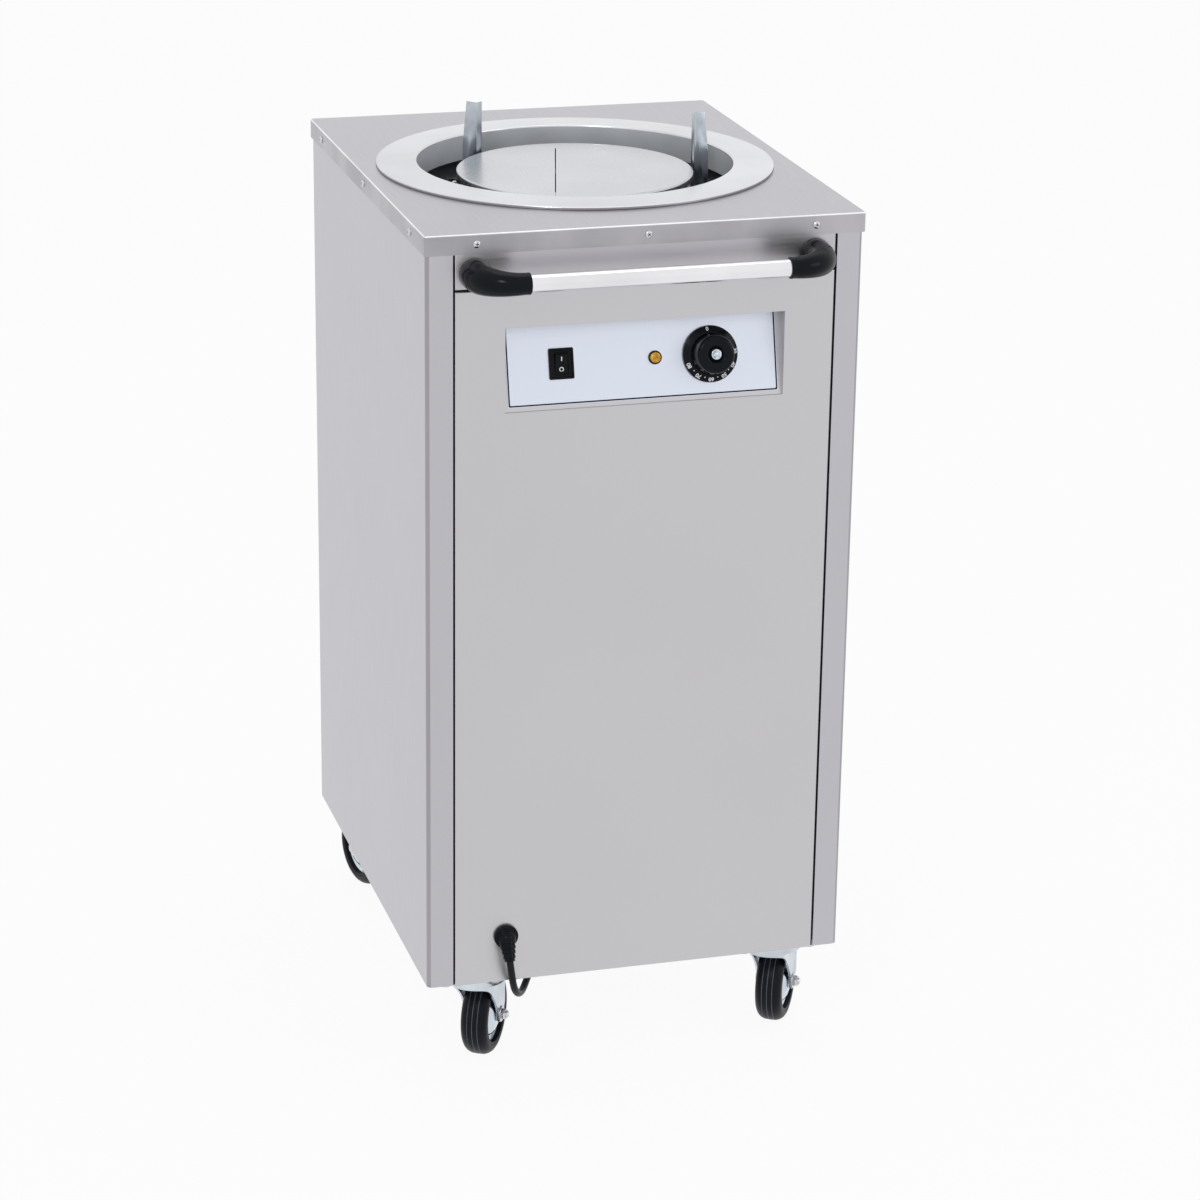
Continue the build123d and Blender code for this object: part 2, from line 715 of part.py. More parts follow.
def make_plate_guide(angle):
    """An angle-section upright: a radial web, a narrow face towards the plates and a foot."""
    radial = Plane(origin=(0, 0, 0), x_dir=polar(1, angle), z_dir=polar(1, angle - 90))
    top = top_z + guide_rise
    with BuildPart() as guide:
        with BuildSketch(radial):
            with BuildLine():
                Polyline(
                    (guide_face_radius, deck_z),
                    (guide_face_radius, top),
                    (guide_face_radius + guide_web_top, top),
                    (guide_face_radius + guide_web_foot, top_z),
                    (guide_face_radius + guide_web_foot, deck_z),
                    close=True,
                )
            make_face()
        extrude(amount=guide_sheet / 2, both=True)
        with BuildSketch(radial):
            with BuildLine():
                Polyline(
                    (guide_face_radius, deck_z),
                    (guide_face_radius, top),
                    (guide_face_radius + guide_sheet, top),
                    (guide_face_radius + guide_sheet, deck_z),
                    close=True,
                )
            make_face()
        extrude(amount=guide_flange_width - guide_sheet / 2)
        foot_start = guide_face_radius + guide_web_foot - guide_sheet
        with BuildSketch(Plane(origin=(0, 0, deck_z), x_dir=polar(1, angle), z_dir=(0, 0, 1))):
            with Locations((foot_start + guide_foot_length / 2, 0)):
                Rectangle(guide_foot_length, guide_foot_width)
            with Locations((guide_screw_radius, 0)):
                Circle(screw_radius, mode=Mode.SUBTRACT)
        extrude(amount=guide_sheet)
    return guide.part


for label, angle in guide_angles.items():
    keep(make_plate_guide(angle), f"plate_guide_{label}")

# ---------------------------------------------------------------- carrier

with BuildPart() as platform_disc:
    with BuildSketch(Plane.XY.offset(platform_z)):
        Circle(platform_radius)
    extrude(amount=-platform_rim_depth)
    fillet(platform_disc.edges().group_by(Axis.Z)[-1], radius=platform_sheet * 0.8)
    with BuildSketch(Plane.XY.offset(platform_under_z)):
        Circle(platform_radius - platform_sheet)
    extrude(amount=-platform_rim_depth, mode=Mode.SUBTRACT)
    with BuildSketch(Plane(origin=(0, 0, platform_z), x_dir=polar(1, slit_turn), z_dir=(0, 0, 1))):
        with Locations(((slit_back - slit_front) / 2, slit_offset)):
            SlotOverall(slit_back + slit_front, slit_width)
    extrude(amount=-platform_rim_depth, mode=Mode.SUBTRACT)
keep(platform_disc.part, "platform_disc")

leg_circle = (carrier_ring_inner + carrier_ring_outer) / 2
with BuildPart() as carrier_frame:
    for ring_z in (lower_ring_z, upper_arm_z, platform_under_z - carrier_plate):
        with BuildSketch(Plane.XY.offset(ring_z)):
            Circle(carrier_ring_outer)
            Circle(carrier_ring_inner, mode=Mode.SUBTRACT)
        extrude(amount=carrier_plate)
    for arm_z in (lower_ring_z, upper_arm_z):
        with BuildSketch(Plane.XY.offset(arm_z)):
            for point in rod_points:
                with Locations((0, math.copysign((leg_circle + guide_circle_radius) / 2, point[1]))):
                    Rectangle(carrier_arm_width, guide_circle_radius - leg_circle)
        extrude(amount=carrier_plate)
        with BuildSketch(Plane.XY.offset(arm_z + (carrier_plate - bush_length) / 2)):
            with Locations(*rod_points):
                Circle(housing_radius)
        extrude(amount=bush_length)
    with BuildSketch(Plane.XY.offset(lower_ring_z)):
        for angle in spring_angles:
            with Locations(Location(polar((leg_circle + guide_circle_radius) / 2, angle), (0, 0, angle))):
                Rectangle(guide_circle_radius - leg_circle + 2 * spring_radius, 2 * spring_radius)
    extrude(amount=carrier_plate)
    with BuildSketch(Plane.XY.offset(lower_ring_z)):
        with PolarLocations(leg_circle, 4, start_angle=45):
            Circle(carrier_leg_radius)
    extrude(amount=platform_under_z - lower_ring_z)
    with BuildSketch(Plane.XY.offset(lower_ring_z - bush_length)):
        with Locations(*rod_points):
            Circle(bush_radius)
    extrude(amount=deck_z - lower_ring_z + bush_length, mode=Mode.SUBTRACT)
keep(carrier_frame.part, "carrier_frame")

with BuildPart() as guide_bushings:
    for arm_z in (lower_ring_z, upper_arm_z):
        with BuildSketch(Plane.XY.offset(arm_z + (carrier_plate - bush_length) / 2)):
            with Locations(*rod_points):
                Circle(bush_radius)
                Circle(rod_radius + running_clearance, mode=Mode.SUBTRACT)
        extrude(amount=bush_length)
keep(guide_bushings.part, "guide_bushings")

# Springs are close-wound tubes with a wire loop over a pin at the top
coil_low_z = lower_ring_z + carrier_plate + seat
coil_high_z = deck_under_z - 3
pin_z = deck_z + spring_pin_radius
with BuildPart() as extension_springs:
    with BuildSketch(Plane.XY.offset(coil_low_z)):
        with Locations(*spring_points):
            Circle(spring_radius)
            Circle(spring_radius - spring_wire, mode=Mode.SUBTRACT)
    extrude(amount=coil_high_z - coil_low_z)
    for angle in spring_angles:
        loop_plane = Plane(origin=polar(guide_circle_radius, angle), x_dir=polar(1, angle + 90),
                           z_dir=polar(1, angle))
        with BuildSketch(loop_plane):
            low = coil_high_z - spring_wire
            high = pin_z + spring_pin_radius + seat + spring_wire
            with Locations((0, (low + high) / 2)):
                Rectangle(2 * (spring_pin_radius + seat + spring_wire), high - low)
            with Locations((0, (low + high) / 2 - spring_wire / 2)):
                Rectangle(2 * (spring_pin_radius + seat), high - low - spring_wire, mode=Mode.SUBTRACT)
            with Locations((0, low + spring_wire / 2)):
                Rectangle(2 * spring_radius, spring_wire)
        extrude(amount=spring_wire / 2, both=True)
keep(extension_springs.part, "extension_springs")

with BuildPart() as spring_pins:
    for angle in spring_angles:
        start = polar(guide_circle_radius - spring_pin_length / 2, angle, pin_z)
        with BuildSketch(Plane(origin=start, x_dir=polar(1, angle + 90), z_dir=polar(1, angle))):
            Circle(spring_pin_radius)
        extrude(amount=spring_pin_length)
keep(spring_pins.part, "spring_pins")

# ---------------------------------------------------------------- heat and wiring

terminal_length = 60.0
terminal_width = 22.0
terminal_height = 18.0
terminal_setback = 34.0
terminal_hole_radius = 3.2

element_radius = 4.2
element_circle = 88.0
element_lift = 12.0
element_tail = 40.0
element_z = pan_top_z + element_lift
element_gap_angle = 8
with BuildPart() as heating_element:
    with BuildLine():
        ring_path = CenterArc((0, 0, element_z), element_circle, -90 + element_gap_angle,
                              360 - 2 * element_gap_angle)
        Line(ring_path @ 0, (ring_path @ 0) + Vector(0, -element_tail, 0))
        Line(ring_path @ 1, (ring_path @ 1) + Vector(0, -element_tail, 0))
    with BuildSketch(Plane.XZ.offset(-((ring_path @ 0).Y - element_tail))):
        with Locations(((ring_path @ 0).X, element_z)):
            Circle(element_radius)
    sweep(transition=Transition.ROUND)
keep(heating_element.part, "heating_element")

clip_width = 10.0
clip_clearance = 0.2  # room for the tube's curve inside the straight clip
clip_height = element_z + element_radius + clip_clearance + body_sheet - pan_top_z
with BuildPart() as element_clips:
    for angle in (0, 90, 180):
        at = polar(element_circle, angle, pan_top_z)
        with BuildSketch(Plane(origin=at, x_dir=polar(1, angle), z_dir=polar(1, angle - 90))):
            with Locations((0, clip_height / 2)):
                Rectangle(2 * (element_radius + clip_clearance + body_sheet), clip_height)
            with Locations((0, element_z - pan_top_z)):
                Circle(element_radius + clip_clearance, mode=Mode.SUBTRACT)
        extrude(amount=clip_width / 2, both=True)
keep(element_clips.part, "element_clips")

terminal_y = behind_panel_y + terminal_setback
with BuildPart() as terminal_block:
    with Locations((-terminal_length, terminal_y, pan_top_z + terminal_height / 2)):
        Box(terminal_length, terminal_width, terminal_height)
    with Locations((-terminal_length, terminal_y, pan_top_z + terminal_height)):
        with GridLocations(0.3 * terminal_length, terminal_width / 2, 3, 2):
            Cylinder(terminal_hole_radius, terminal_height / 2, mode=Mode.SUBTRACT)
keep(terminal_block.part, "terminal_block")

bulb_radius = 3.2
bulb_length = 90.0
bulb_z = pan_top_z + 150
bulb_y = -(drum_radius + bulb_radius + seat)
with BuildPart() as thermostat_bulb:
    with BuildSketch(Plane.XY.offset(bulb_z)):
        with Locations((0, bulb_y)):
            Circle(bulb_radius)
    extrude(amount=bulb_length)
keep(thermostat_bulb.part, "thermostat_bulb")

# ---------------------------------------------------------------- mains entry

gland_plane = Plane(origin=(gland_x, -body_half_y, gland_z), x_dir=(1, 0, 0), z_dir=(0, -1, 0))
droop = math.radians(gland_droop)
nose_dir = Vector(0.0, -math.cos(droop), -math.sin(droop))
nose_start = Vector(gland_x, -body_half_y - 5.5, gland_z - 1.0)
nose_length = 24.0
nose_plane = Plane(origin=nose_start, x_dir=(1, 0, 0), z_dir=nose_dir)

# The lead turns under the front edge, is clipped below the body, and drops to a coil behind it
cord_exit = nose_start + nose_dir * (nose_length - 8)
clipped_z = body_bottom_z - cord_clip_drop
floor_cord_z = cord_radius
clipped_points = [
    Vector(-90, -198, clipped_z),
    Vector(-62, -128, clipped_z),
    Vector(-40, -60, clipped_z),
    Vector(-22, 8, clipped_z),
]
cord_points = [
    cord_exit,
    cord_exit + nose_dir * cord_straight,
    Vector(-136, -286.7, 109.3),
    Vector(-124, -266.8, 92.6),
    Vector(-108, -236, 97),
    *clipped_points,
    Vector(-18, 62, 78),
    Vector(-13, 128, floor_cord_z),
    Vector(-12, 190, floor_cord_z),
    Vector(-15, 255, floor_cord_z),
    Vector(-17, 322, floor_cord_z),
]


def clip_plane(start, end):
    """The plane across the lead halfway along a level run, with its Y upwards."""
    along = (end - start).normalized()
    return Plane(origin=(start + end) / 2, x_dir=(-along.Y, along.X, 0), z_dir=along)


clip_rise = cord_clip_drop - seat
clip_wall = 1.5
clip_foot_width = 26.0
clip_foot_sheet = 1.6
clip_clearance_radius = 0.3
clip_outer_radius = cord_radius + clip_clearance_radius + clip_wall

# The moulded entry fittings: the gland, and three saddle clips that carry its lead
with BuildPart() as cable_gland:
    with BuildSketch(gland_plane):
        Circle(gland_flange_radius)
    extrude(amount=4.0)
    fillet(cable_gland.faces().sort_by(Axis.Y)[0].edges(), radius=1.5)
    with Locations(nose_start):
        Sphere(9.4)
    with BuildSketch(nose_plane):
        Circle(8.6)
    with BuildSketch(nose_plane.offset(nose_length)):
        Circle(5.4)
    loft()
    with Locations((gland_x, -body_half_y + 20, gland_z)):
        Box(40, 40, 40, mode=Mode.SUBTRACT)
    with BuildSketch(gland_plane):
        Circle(gland_thread_radius)
    extrude(amount=-14)
    with BuildSketch(nose_plane.offset(nose_length)):
        Circle(cord_radius + running_clearance)
    extrude(amount=-8, mode=Mode.SUBTRACT)
    for start, end in zip(clipped_points, clipped_points[1:]):
        with BuildSketch(clip_plane(start, end)):
            Circle(clip_outer_radius)
            with Locations((0, clip_rise / 2)):
                Rectangle(2 * clip_outer_radius, clip_rise)
            with Locations((0, clip_rise - clip_foot_sheet / 2)):
                Rectangle(clip_foot_width, clip_foot_sheet)
            Circle(cord_radius + clip_clearance_radius, mode=Mode.SUBTRACT)
        extrude(amount=cord_clip_width / 2, both=True)
keep(cable_gland.part, "cable_gland")

with BuildPart() as gland_nut:
    with BuildSketch(Plane.XZ.offset(inner_half_y)):
        with Locations((gland_x, gland_z)):
            RegularPolygon(13.5, 6)
            Circle(gland_thread_radius, mode=Mode.SUBTRACT)
    extrude(amount=-5)
keep(gland_nut.part, "gland_nut")


def corner_radii(points):
    """A tangent arc for each corner, as large as its two runs allow."""
    radii = []
    for before, at, after in zip(points, points[1:], points[2:]):
        run_in, run_out = at - before, after - at
        half_turn = math.radians(run_in.get_angle(run_out)) / 2
        radii.append(0.45 * min(run_in.length, run_out.length) / math.tan(half_turn))
    return radii


cord_radii = corner_radii(cord_points)
with BuildPart() as mains_cord:
    with BuildLine() as cord_path:
        FilletPolyline(*cord_points, radius=cord_radii)
    with BuildSketch(Plane(origin=cord_exit, x_dir=(1, 0, 0), z_dir=cord_points[1] - cord_exit)):
        Circle(cord_radius)
    sweep()
lead_length = sum(edge.length for edge in cord_path.edges())
keep(mains_cord.part, "mains_cord")

coil_turns = 4.25
coil_mid_radius = (cord_length - lead_length - cord_tail) / (2 * math.pi * coil_turns)
coil_half_band = cord_radius * 2.1
coil_height = 4 * cord_radius + 0.6
coil_outer_radius = coil_mid_radius + coil_half_band
lead_inner_x = coil_mid_radius - cord_radius
coil_reach = math.sqrt(coil_outer_radius**2 - lead_inner_x**2) + seat
coil_centre = Vector(cord_points[-1].X - coil_mid_radius, cord_points[-1].Y + coil_reach, 0)
with BuildPart() as cord_coil:
    with BuildSketch(Plane.XY):
        with Locations(coil_centre):
            Circle(coil_outer_radius)
            Circle(coil_mid_radius - coil_half_band, mode=Mode.SUBTRACT)
    extrude(amount=coil_height)
    fillet(cord_coil.edges().group_by(Axis.Z)[-1], radius=cord_radius)
keep(cord_coil.part, "cord_coil")

plug_radius = 18.0
plug_length = 38.0
plug_cone = 14.0
plug_tail_radius = 8.0
plug_pin_radius = 2.4
plug_pin_length = 19.0
plug_pin_spacing = 19.0
plug_back = 25.0  # how far past the coil's middle the plug starts
plug_tuck = 1.2  # the coil's rounded edge lets the plug lie this much nearer
plug_beside = math.sqrt(coil_outer_radius**2 - plug_back**2) + plug_tail_radius - plug_tuck
plug_at = coil_centre + Vector(-plug_back, plug_beside, plug_radius)
plug_plane = Plane(origin=plug_at, x_dir=(0, 1, 0), z_dir=(-1, 0, 0))
with BuildPart() as mains_plug:
    with BuildSketch(plug_plane):
        Circle(plug_tail_radius)
    with BuildSketch(plug_plane.offset(plug_cone)):
        Circle(plug_radius)
    loft()
    with BuildSketch(plug_plane.offset(plug_cone)):
        Circle(plug_radius)
    extrude(amount=plug_length - plug_cone)
    with BuildSketch(plug_plane.offset(plug_length)):
        with Locations((-plug_pin_spacing / 2, 0), (plug_pin_spacing / 2, 0)):
            Circle(plug_pin_radius)
    extrude(amount=plug_pin_length)
keep(mains_plug.part, "mains_plug")

# ---------------------------------------------------------------- casters

plate_low_z = body_bottom_z - caster_plate_sheet
raceway_low_z = plate_low_z - raceway_height
with BuildPart() as caster_plates:
    with BuildSketch(Plane.XY.offset(plate_low_z)):
        with Locations(*caster_points):
            RectangleRounded(caster_plate_x, caster_plate_y, 8)
            with GridLocations(bolt_span_x, bolt_span_y, 2, 2):
                Circle(caster_bolt_radius, mode=Mode.SUBTRACT)
    extrude(amount=caster_plate_sheet)
    with BuildSketch(Plane.XY.offset(raceway_low_z)):
        with Locations(*caster_points):
            Circle(raceway_radius)
    extrude(amount=raceway_height)
keep(caster_plates.part, "caster_plates")

nut_height = 6.0
with BuildPart() as caster_bolts:
    with Locations(*caster_points):
        with GridLocations(bolt_span_x, bolt_span_y, 2, 2):
            with Locations((0, 0, plate_low_z - nut_height)):
                Cylinder(caster_bolt_radius, nut_height + caster_plate_sheet + body_sheet + 3,
                         align=(Align.CENTER, Align.CENTER, Align.MIN))
                Cylinder(6.2, nut_height, align=(Align.CENTER, Align.CENTER, Align.MIN))
            with Locations((0, 0, pan_top_z)):
                Cylinder(6.2, 4, align=(Align.CENTER, Align.CENTER, Align.MIN))
keep(caster_bolts.part, "caster_bolts")

swivel_gap = 0.3
fork_top_z = raceway_low_z - swivel_gap
fork_half = fork_inside / 2 + fork_sheet
axle_half = fork_half + 1.0


def make_fork(kingpin, heading):
    """A pressed caster fork: a round crown with two legs that reach back to the axle."""
    at = Vector(kingpin[0], kingpin[1], 0)
    along = polar(1, heading)
    side_plane = Plane(origin=at, x_dir=along, z_dir=polar(1, heading - 90))
    crown_reach = raceway_radius + 4
    crown_low_z = fork_top_z - crown_edge
    leg_back = caster_trail + leg_half_width
    leg_front = caster_trail - leg_half_width
    arch_t = (leg_front + crown_reach) * math.sin(math.radians(45)) - crown_reach
    arch_z = axle_z + (crown_low_z - axle_z) * math.sin(math.radians(45))
    with BuildPart() as fork:
        with BuildSketch(side_plane):
            with BuildLine():
                Polyline((leg_back, fork_top_z), (-crown_reach, fork_top_z), (-crown_reach, crown_low_z))
                ThreePointArc((-crown_reach, crown_low_z), (arch_t, arch_z), (leg_front, axle_z))
                ThreePointArc(
                    (leg_front, axle_z),
                    (caster_trail, axle_z - leg_half_width),
                    (leg_back, axle_z),
                )
                Line((leg_back, axle_z), (leg_back, fork_top_z))
            make_face()
        extrude(amount=fork_half, both=True)
        with BuildSketch(Plane(origin=at, x_dir=along, z_dir=(0, 0, 1))):
            Circle(crown_reach)
            with Locations((leg_back / 2, 0)):
                Rectangle(leg_back, 2 * fork_half)
        extrude(amount=fork_top_z, mode=Mode.INTERSECT)
        with BuildSketch(side_plane):
            with Locations((0, (fork_top_z - fork_sheet) / 2)):
                Rectangle(4 * crown_reach, fork_top_z - fork_sheet)
        extrude(amount=fork_inside / 2, both=True, mode=Mode.SUBTRACT)
        with BuildSketch(side_plane):
            with Locations((caster_trail, axle_z)):
                Circle(axle_radius)
        extrude(amount=fork_half, both=True, mode=Mode.SUBTRACT)
    return fork.part


def axle_place(kingpin, heading):
    """The plane through the wheel's middle, with its normal along the axle."""
    along = polar(caster_trail, heading)
    origin = Vector(kingpin[0] + along.X, kingpin[1] + along.Y, axle_z)
    return Plane(origin=origin, x_dir=polar(1, heading), z_dir=polar(1, heading - 90))


def make_axle(plane):
    """An axle bolt with its head and nut outside the fork."""
    with BuildPart() as axle:
        with BuildSketch(plane):
            Circle(axle_radius)
        extrude(amount=axle_half, both=True)
        for end in (-1, 1):
            with BuildSketch(plane.offset(end * fork_half)):
                RegularPolygon(axle_head_radius, 6)
            extrude(amount=end * 5)
    return axle.part


hub_half = wheel_width / 2 + 1.0
hub_bore = axle_radius + running_clearance


def make_hub(plane):
    """A wheel centre with a domed cap on each side and a bore for the axle."""
    with BuildPart() as hub:
        with BuildSketch(Plane(origin=plane.origin, x_dir=plane.x_dir, z_dir=plane.y_dir)):
            with BuildLine():
                Polyline((hub_bore, -hub_half), (hub_bore, hub_half), (11, hub_half))
                Spline((11, hub_half), (20, hub_half - 2.2), (hub_radius - 4, hub_half - 6.5))
                Polyline(
                    (hub_radius - 4, hub_half - 6.5),
                    (hub_radius, hub_half - 6.5),
                    (hub_radius, -hub_half + 6.5),
                    (hub_radius - 4, -hub_half + 6.5),
                )
                Spline((hub_radius - 4, -hub_half + 6.5), (20, -hub_half + 2.2), (11, -hub_half))
                Line((11, -hub_half), (hub_bore, -hub_half))
            make_face()
        revolve(axis=Axis(plane.origin, plane.z_dir))
    return hub.part


def make_tyre(plane):
    """A solid rubber tyre pressed on the hub, with rounded shoulders."""
    half = wheel_width / 2
    shoulder = 8.0
    with BuildPart() as tyre:
        with BuildSketch(Plane(origin=plane.origin, x_dir=plane.x_dir, z_dir=plane.y_dir)):
            with BuildLine():
                Polyline((hub_radius, -half + 3), (hub_radius, half - 3), (hub_radius + 2, half))
                Line((hub_radius + 2, half), (wheel_radius - shoulder, half))
                ThreePointArc(
                    (wheel_radius - shoulder, half),
                    (wheel_radius - 0.293 * shoulder, half - 0.293 * shoulder),
                    (wheel_radius, half - shoulder),
                )
                Line((wheel_radius, half - shoulder), (wheel_radius, -half + shoulder))
                ThreePointArc(
                    (wheel_radius, -half + shoulder),
                    (wheel_radius - 0.293 * shoulder, -half + 0.293 * shoulder),
                    (wheel_radius - shoulder, -half),
                )
                Polyline((wheel_radius - shoulder, -half), (hub_radius + 2, -half),
                         (hub_radius, -half + 3))
            make_face()
        revolve(axis=Axis(plane.origin, plane.z_dir))
    return tyre.part


caster_names = ["front_left", "front_right", "rear_left", "rear_right"]
caster_headings = [
    front_trail_heading,
    front_trail_heading,
    rear_left_trail_heading,
    rear_right_trail_heading,
]
for name, kingpin, heading in zip(caster_names, caster_points, caster_headings):
    wheel_plane = axle_place(kingpin, heading)
    keep(make_fork(kingpin, heading), f"caster_fork_{name}")
    keep(make_axle(wheel_plane), f"caster_axle_{name}")
    keep(make_hub(wheel_plane), f"caster_hub_{name}")
    keep(make_tyre(wheel_plane), f"caster_tyre_{name}")

# ---------------------------------------------------------------- screws


skirt_screw_z = top_z - skirt_depth / 2
half_w = cabinet_width / 2
half_d = cabinet_depth / 2
rear_screw_x = body_half_x - front_flange_width / 2
rear_screw_levels = (body_bottom_z + 40, (body_bottom_z + body_top_z) / 2, body_top_z - 60)
screw_seats = []
for side in (-1, 1):
    for x in (-front_screw_spacing, 0, front_screw_spacing):
        screw_seats.append(((x, side * half_d, skirt_screw_z), (0, side, 0)))
    for y in (-side_screw_spacing, 0, side_screw_spacing):
        screw_seats.append(((side * half_w, y, skirt_screw_z), (side, 0, 0)))
    for z in rear_screw_levels:
        screw_seats.append(((side * rear_screw_x, body_half_y, z), (0, 1, 0)))
for point in guide_screw_points:
    screw_seats.append((point + Vector(0, 0, deck_z + guide_sheet), (0, 0, 1)))
with BuildPart() as panel_screws:
    for point, outward in screw_seats:
        head_plane = Plane(origin=point, z_dir=outward)
        with BuildSketch(head_plane):
            Circle(screw_head_radius)
        with BuildSketch(head_plane.offset(screw_head_height)):
            Circle(screw_head_radius * 0.62)
        loft()
keep(panel_screws.part, "panel_screws")

# ---------------------------------------------------------------- origin and files

# The pieces are drawn about the cabinet's upright centre line. They all move together along Y, so
# that the origin is midway between the handle and the rear wheels; the loose lead doesn't count.
cord_names = ["mains_cord", "cord_coil", "mains_plug"]
boxes = [part.bounding_box() for name, part in pieces.items() if name not in cord_names]
origin_shift_y = -(min(box.min.Y for box in boxes) + max(box.max.Y for box in boxes)) / 2
for name, part in pieces.items():
    placed = part.moved(Location((0, origin_shift_y, 0)))
    placed.label = name
    export_step(placed, f"parts/{name}.step")
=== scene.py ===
"""Looks for the mobile plate warmer cabinet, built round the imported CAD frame. Metres, +Z up."""

import json
from math import atan, atan2, cos, pi, radians, sin, sqrt, tan

import bmesh
import bpy
from mathutils import Matrix, Vector


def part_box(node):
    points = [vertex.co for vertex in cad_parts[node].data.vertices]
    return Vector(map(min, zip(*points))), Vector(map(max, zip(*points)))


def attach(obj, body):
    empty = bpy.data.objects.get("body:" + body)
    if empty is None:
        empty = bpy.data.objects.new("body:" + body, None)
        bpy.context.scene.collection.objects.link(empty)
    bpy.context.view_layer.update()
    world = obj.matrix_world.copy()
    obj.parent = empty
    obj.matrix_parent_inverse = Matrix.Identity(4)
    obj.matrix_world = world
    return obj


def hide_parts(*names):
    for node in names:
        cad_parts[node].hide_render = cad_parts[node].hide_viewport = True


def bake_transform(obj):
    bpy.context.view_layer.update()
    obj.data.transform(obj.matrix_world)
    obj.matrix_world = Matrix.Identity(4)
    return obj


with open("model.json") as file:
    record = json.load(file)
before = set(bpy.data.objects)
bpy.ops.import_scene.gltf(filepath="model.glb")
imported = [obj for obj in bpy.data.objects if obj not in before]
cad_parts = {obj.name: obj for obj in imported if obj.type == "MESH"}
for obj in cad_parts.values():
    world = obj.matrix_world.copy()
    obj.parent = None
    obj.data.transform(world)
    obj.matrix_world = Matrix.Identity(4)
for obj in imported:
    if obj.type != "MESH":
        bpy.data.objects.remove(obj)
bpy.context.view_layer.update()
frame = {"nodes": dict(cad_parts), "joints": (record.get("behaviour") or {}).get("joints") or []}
nodes = frame["nodes"]
joints = {joint["name"]: joint for joint in frame["joints"]}

MM = 0.001
centre_y = Vector(joints["platform_slide"]["pos_m"]).y  # the well's axis
top_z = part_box("top_cover")[1].z
scene = bpy.context.scene


def at(x, y, z):
    """A point from millimetres about the cabinet's centre line, as the part's source gives them."""
    return Vector((x * MM, y * MM + centre_y, z * MM))


def box_mm(node):
    """A CAD node's low corner, high corner and middle, in millimetres about the centre line."""
    low, high = [Vector((corner.x, corner.y - centre_y, corner.z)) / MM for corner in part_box(node)]
    return low, high, (low + high) / 2


def polar(radius, turn):
    """The x and y of a point at a radius and an angle."""
    return radius * cos(turn), radius * sin(turn)


def add_object(name, data):
    """An object of a mesh, curve, lamp or camera, linked to the scene."""
    thing = bpy.data.objects.new(name, data)
    scene.collection.objects.link(thing)
    return thing


# ---------------------------------------------------------------- materials


def new_material(name):
    """A node material, its tree and its Principled shader."""
    material = bpy.data.materials.new(name)
    material.use_nodes = True
    tree = material.node_tree
    return material, tree, tree.nodes["Principled BSDF"]


NOISE_LOW = 0.3  # a noise's values lie mostly between these two
NOISE_HIGH = 0.7


def add_node(tree, kind, **values):
    """A new shader node with some inputs set; an underscore stands for a space in their names."""
    node = tree.nodes.new(f"ShaderNode{kind}")
    for socket, value in values.items():
        node.inputs[socket.replace("_", " ")].default_value = value
    return node


def add_noise(tree, scale, stretch=(1, 1, 1)):
    """A noise texture in object coordinates, stretched along an axis."""
    coordinates = add_node(tree, "TexCoord")
    mapping = add_node(tree, "Mapping", Scale=stretch)
    noise = add_node(tree, "TexNoise", Scale=scale, Detail=3.0)
    tree.links.new(coordinates.outputs["Object"], mapping.inputs["Vector"])
    tree.links.new(mapping.outputs["Vector"], noise.inputs["Vector"])
    return noise


def vary_roughness(tree, shader, source, middle, spread, lowest):
    """Vary the roughness about a middle value by a noise."""
    ranged = add_node(tree, "MapRange", From_Min=NOISE_LOW, From_Max=NOISE_HIGH)
    ranged.inputs["To Min"].default_value = max(lowest, middle - spread)
    ranged.inputs["To Max"].default_value = middle + spread
    tree.links.new(source.outputs["Fac"], ranged.inputs["Value"])
    tree.links.new(ranged.outputs["Result"], shader.inputs["Roughness"])


def tint(tree, source, color, tone, socket):
    """Vary a colour a share darker and lighter by a noise."""
    ramp = add_node(tree, "ValToRGB")
    stops = zip(ramp.color_ramp.elements, (NOISE_LOW, NOISE_HIGH), (1 - tone, 1 + tone))
    for stop, position, share in stops:
        stop.position = position
        stop.color = (*[min(1.0, channel * share) for channel in color], 1)
    tree.links.new(source.outputs["Fac"], ramp.inputs["Fac"])
    tree.links.new(ramp.outputs["Color"], socket)


def add_bump(tree, shader, source, strength, distance):
    """A fine bump from a noise."""
    bump = add_node(tree, "Bump", Strength=strength, Distance=distance)
    tree.links.new(source.outputs["Fac"], bump.inputs["Height"])
    tree.links.new(bump.outputs["Normal"], shader.inputs["Normal"])


def metal(
    name, color, roughness, stretch=(1, 1, 1), spread=0.04, tone=0.02, scale=900, bump=0.02,
    cloud=5.0, metallic=1.0,
):
    """A metal with fine grain, cloudy tone and a roughness that varies along the grain."""
    material, tree, shader = new_material(name)
    shader.inputs["Metallic"].default_value = metallic
    grain = add_noise(tree, scale, stretch)
    clouds = add_noise(tree, cloud)
    vary_roughness(tree, shader, grain, roughness, spread, 0.02)
    tint(tree, clouds, color, tone, shader.inputs["Base Color"])
    add_bump(tree, shader, grain, bump, 0.0001)
    return material


def plastic(name, color, roughness, scale=600, bump=0.05, tone=0.15, coat=0.0, gloss=0.5):
    """A moulded plastic or rubber with a faint texture."""
    material, tree, shader = new_material(name)
    grain = add_noise(tree, scale)
    cloud = add_noise(tree, 25.0)
    vary_roughness(tree, shader, cloud, roughness, 0.06, 0.05)
    tint(tree, grain, color, tone, shader.inputs["Base Color"])
    shader.inputs["Coat Weight"].default_value = coat
    shader.inputs["Specular IOR Level"].default_value = gloss
    add_bump(tree, shader, grain, bump, 0.0002)
    return material


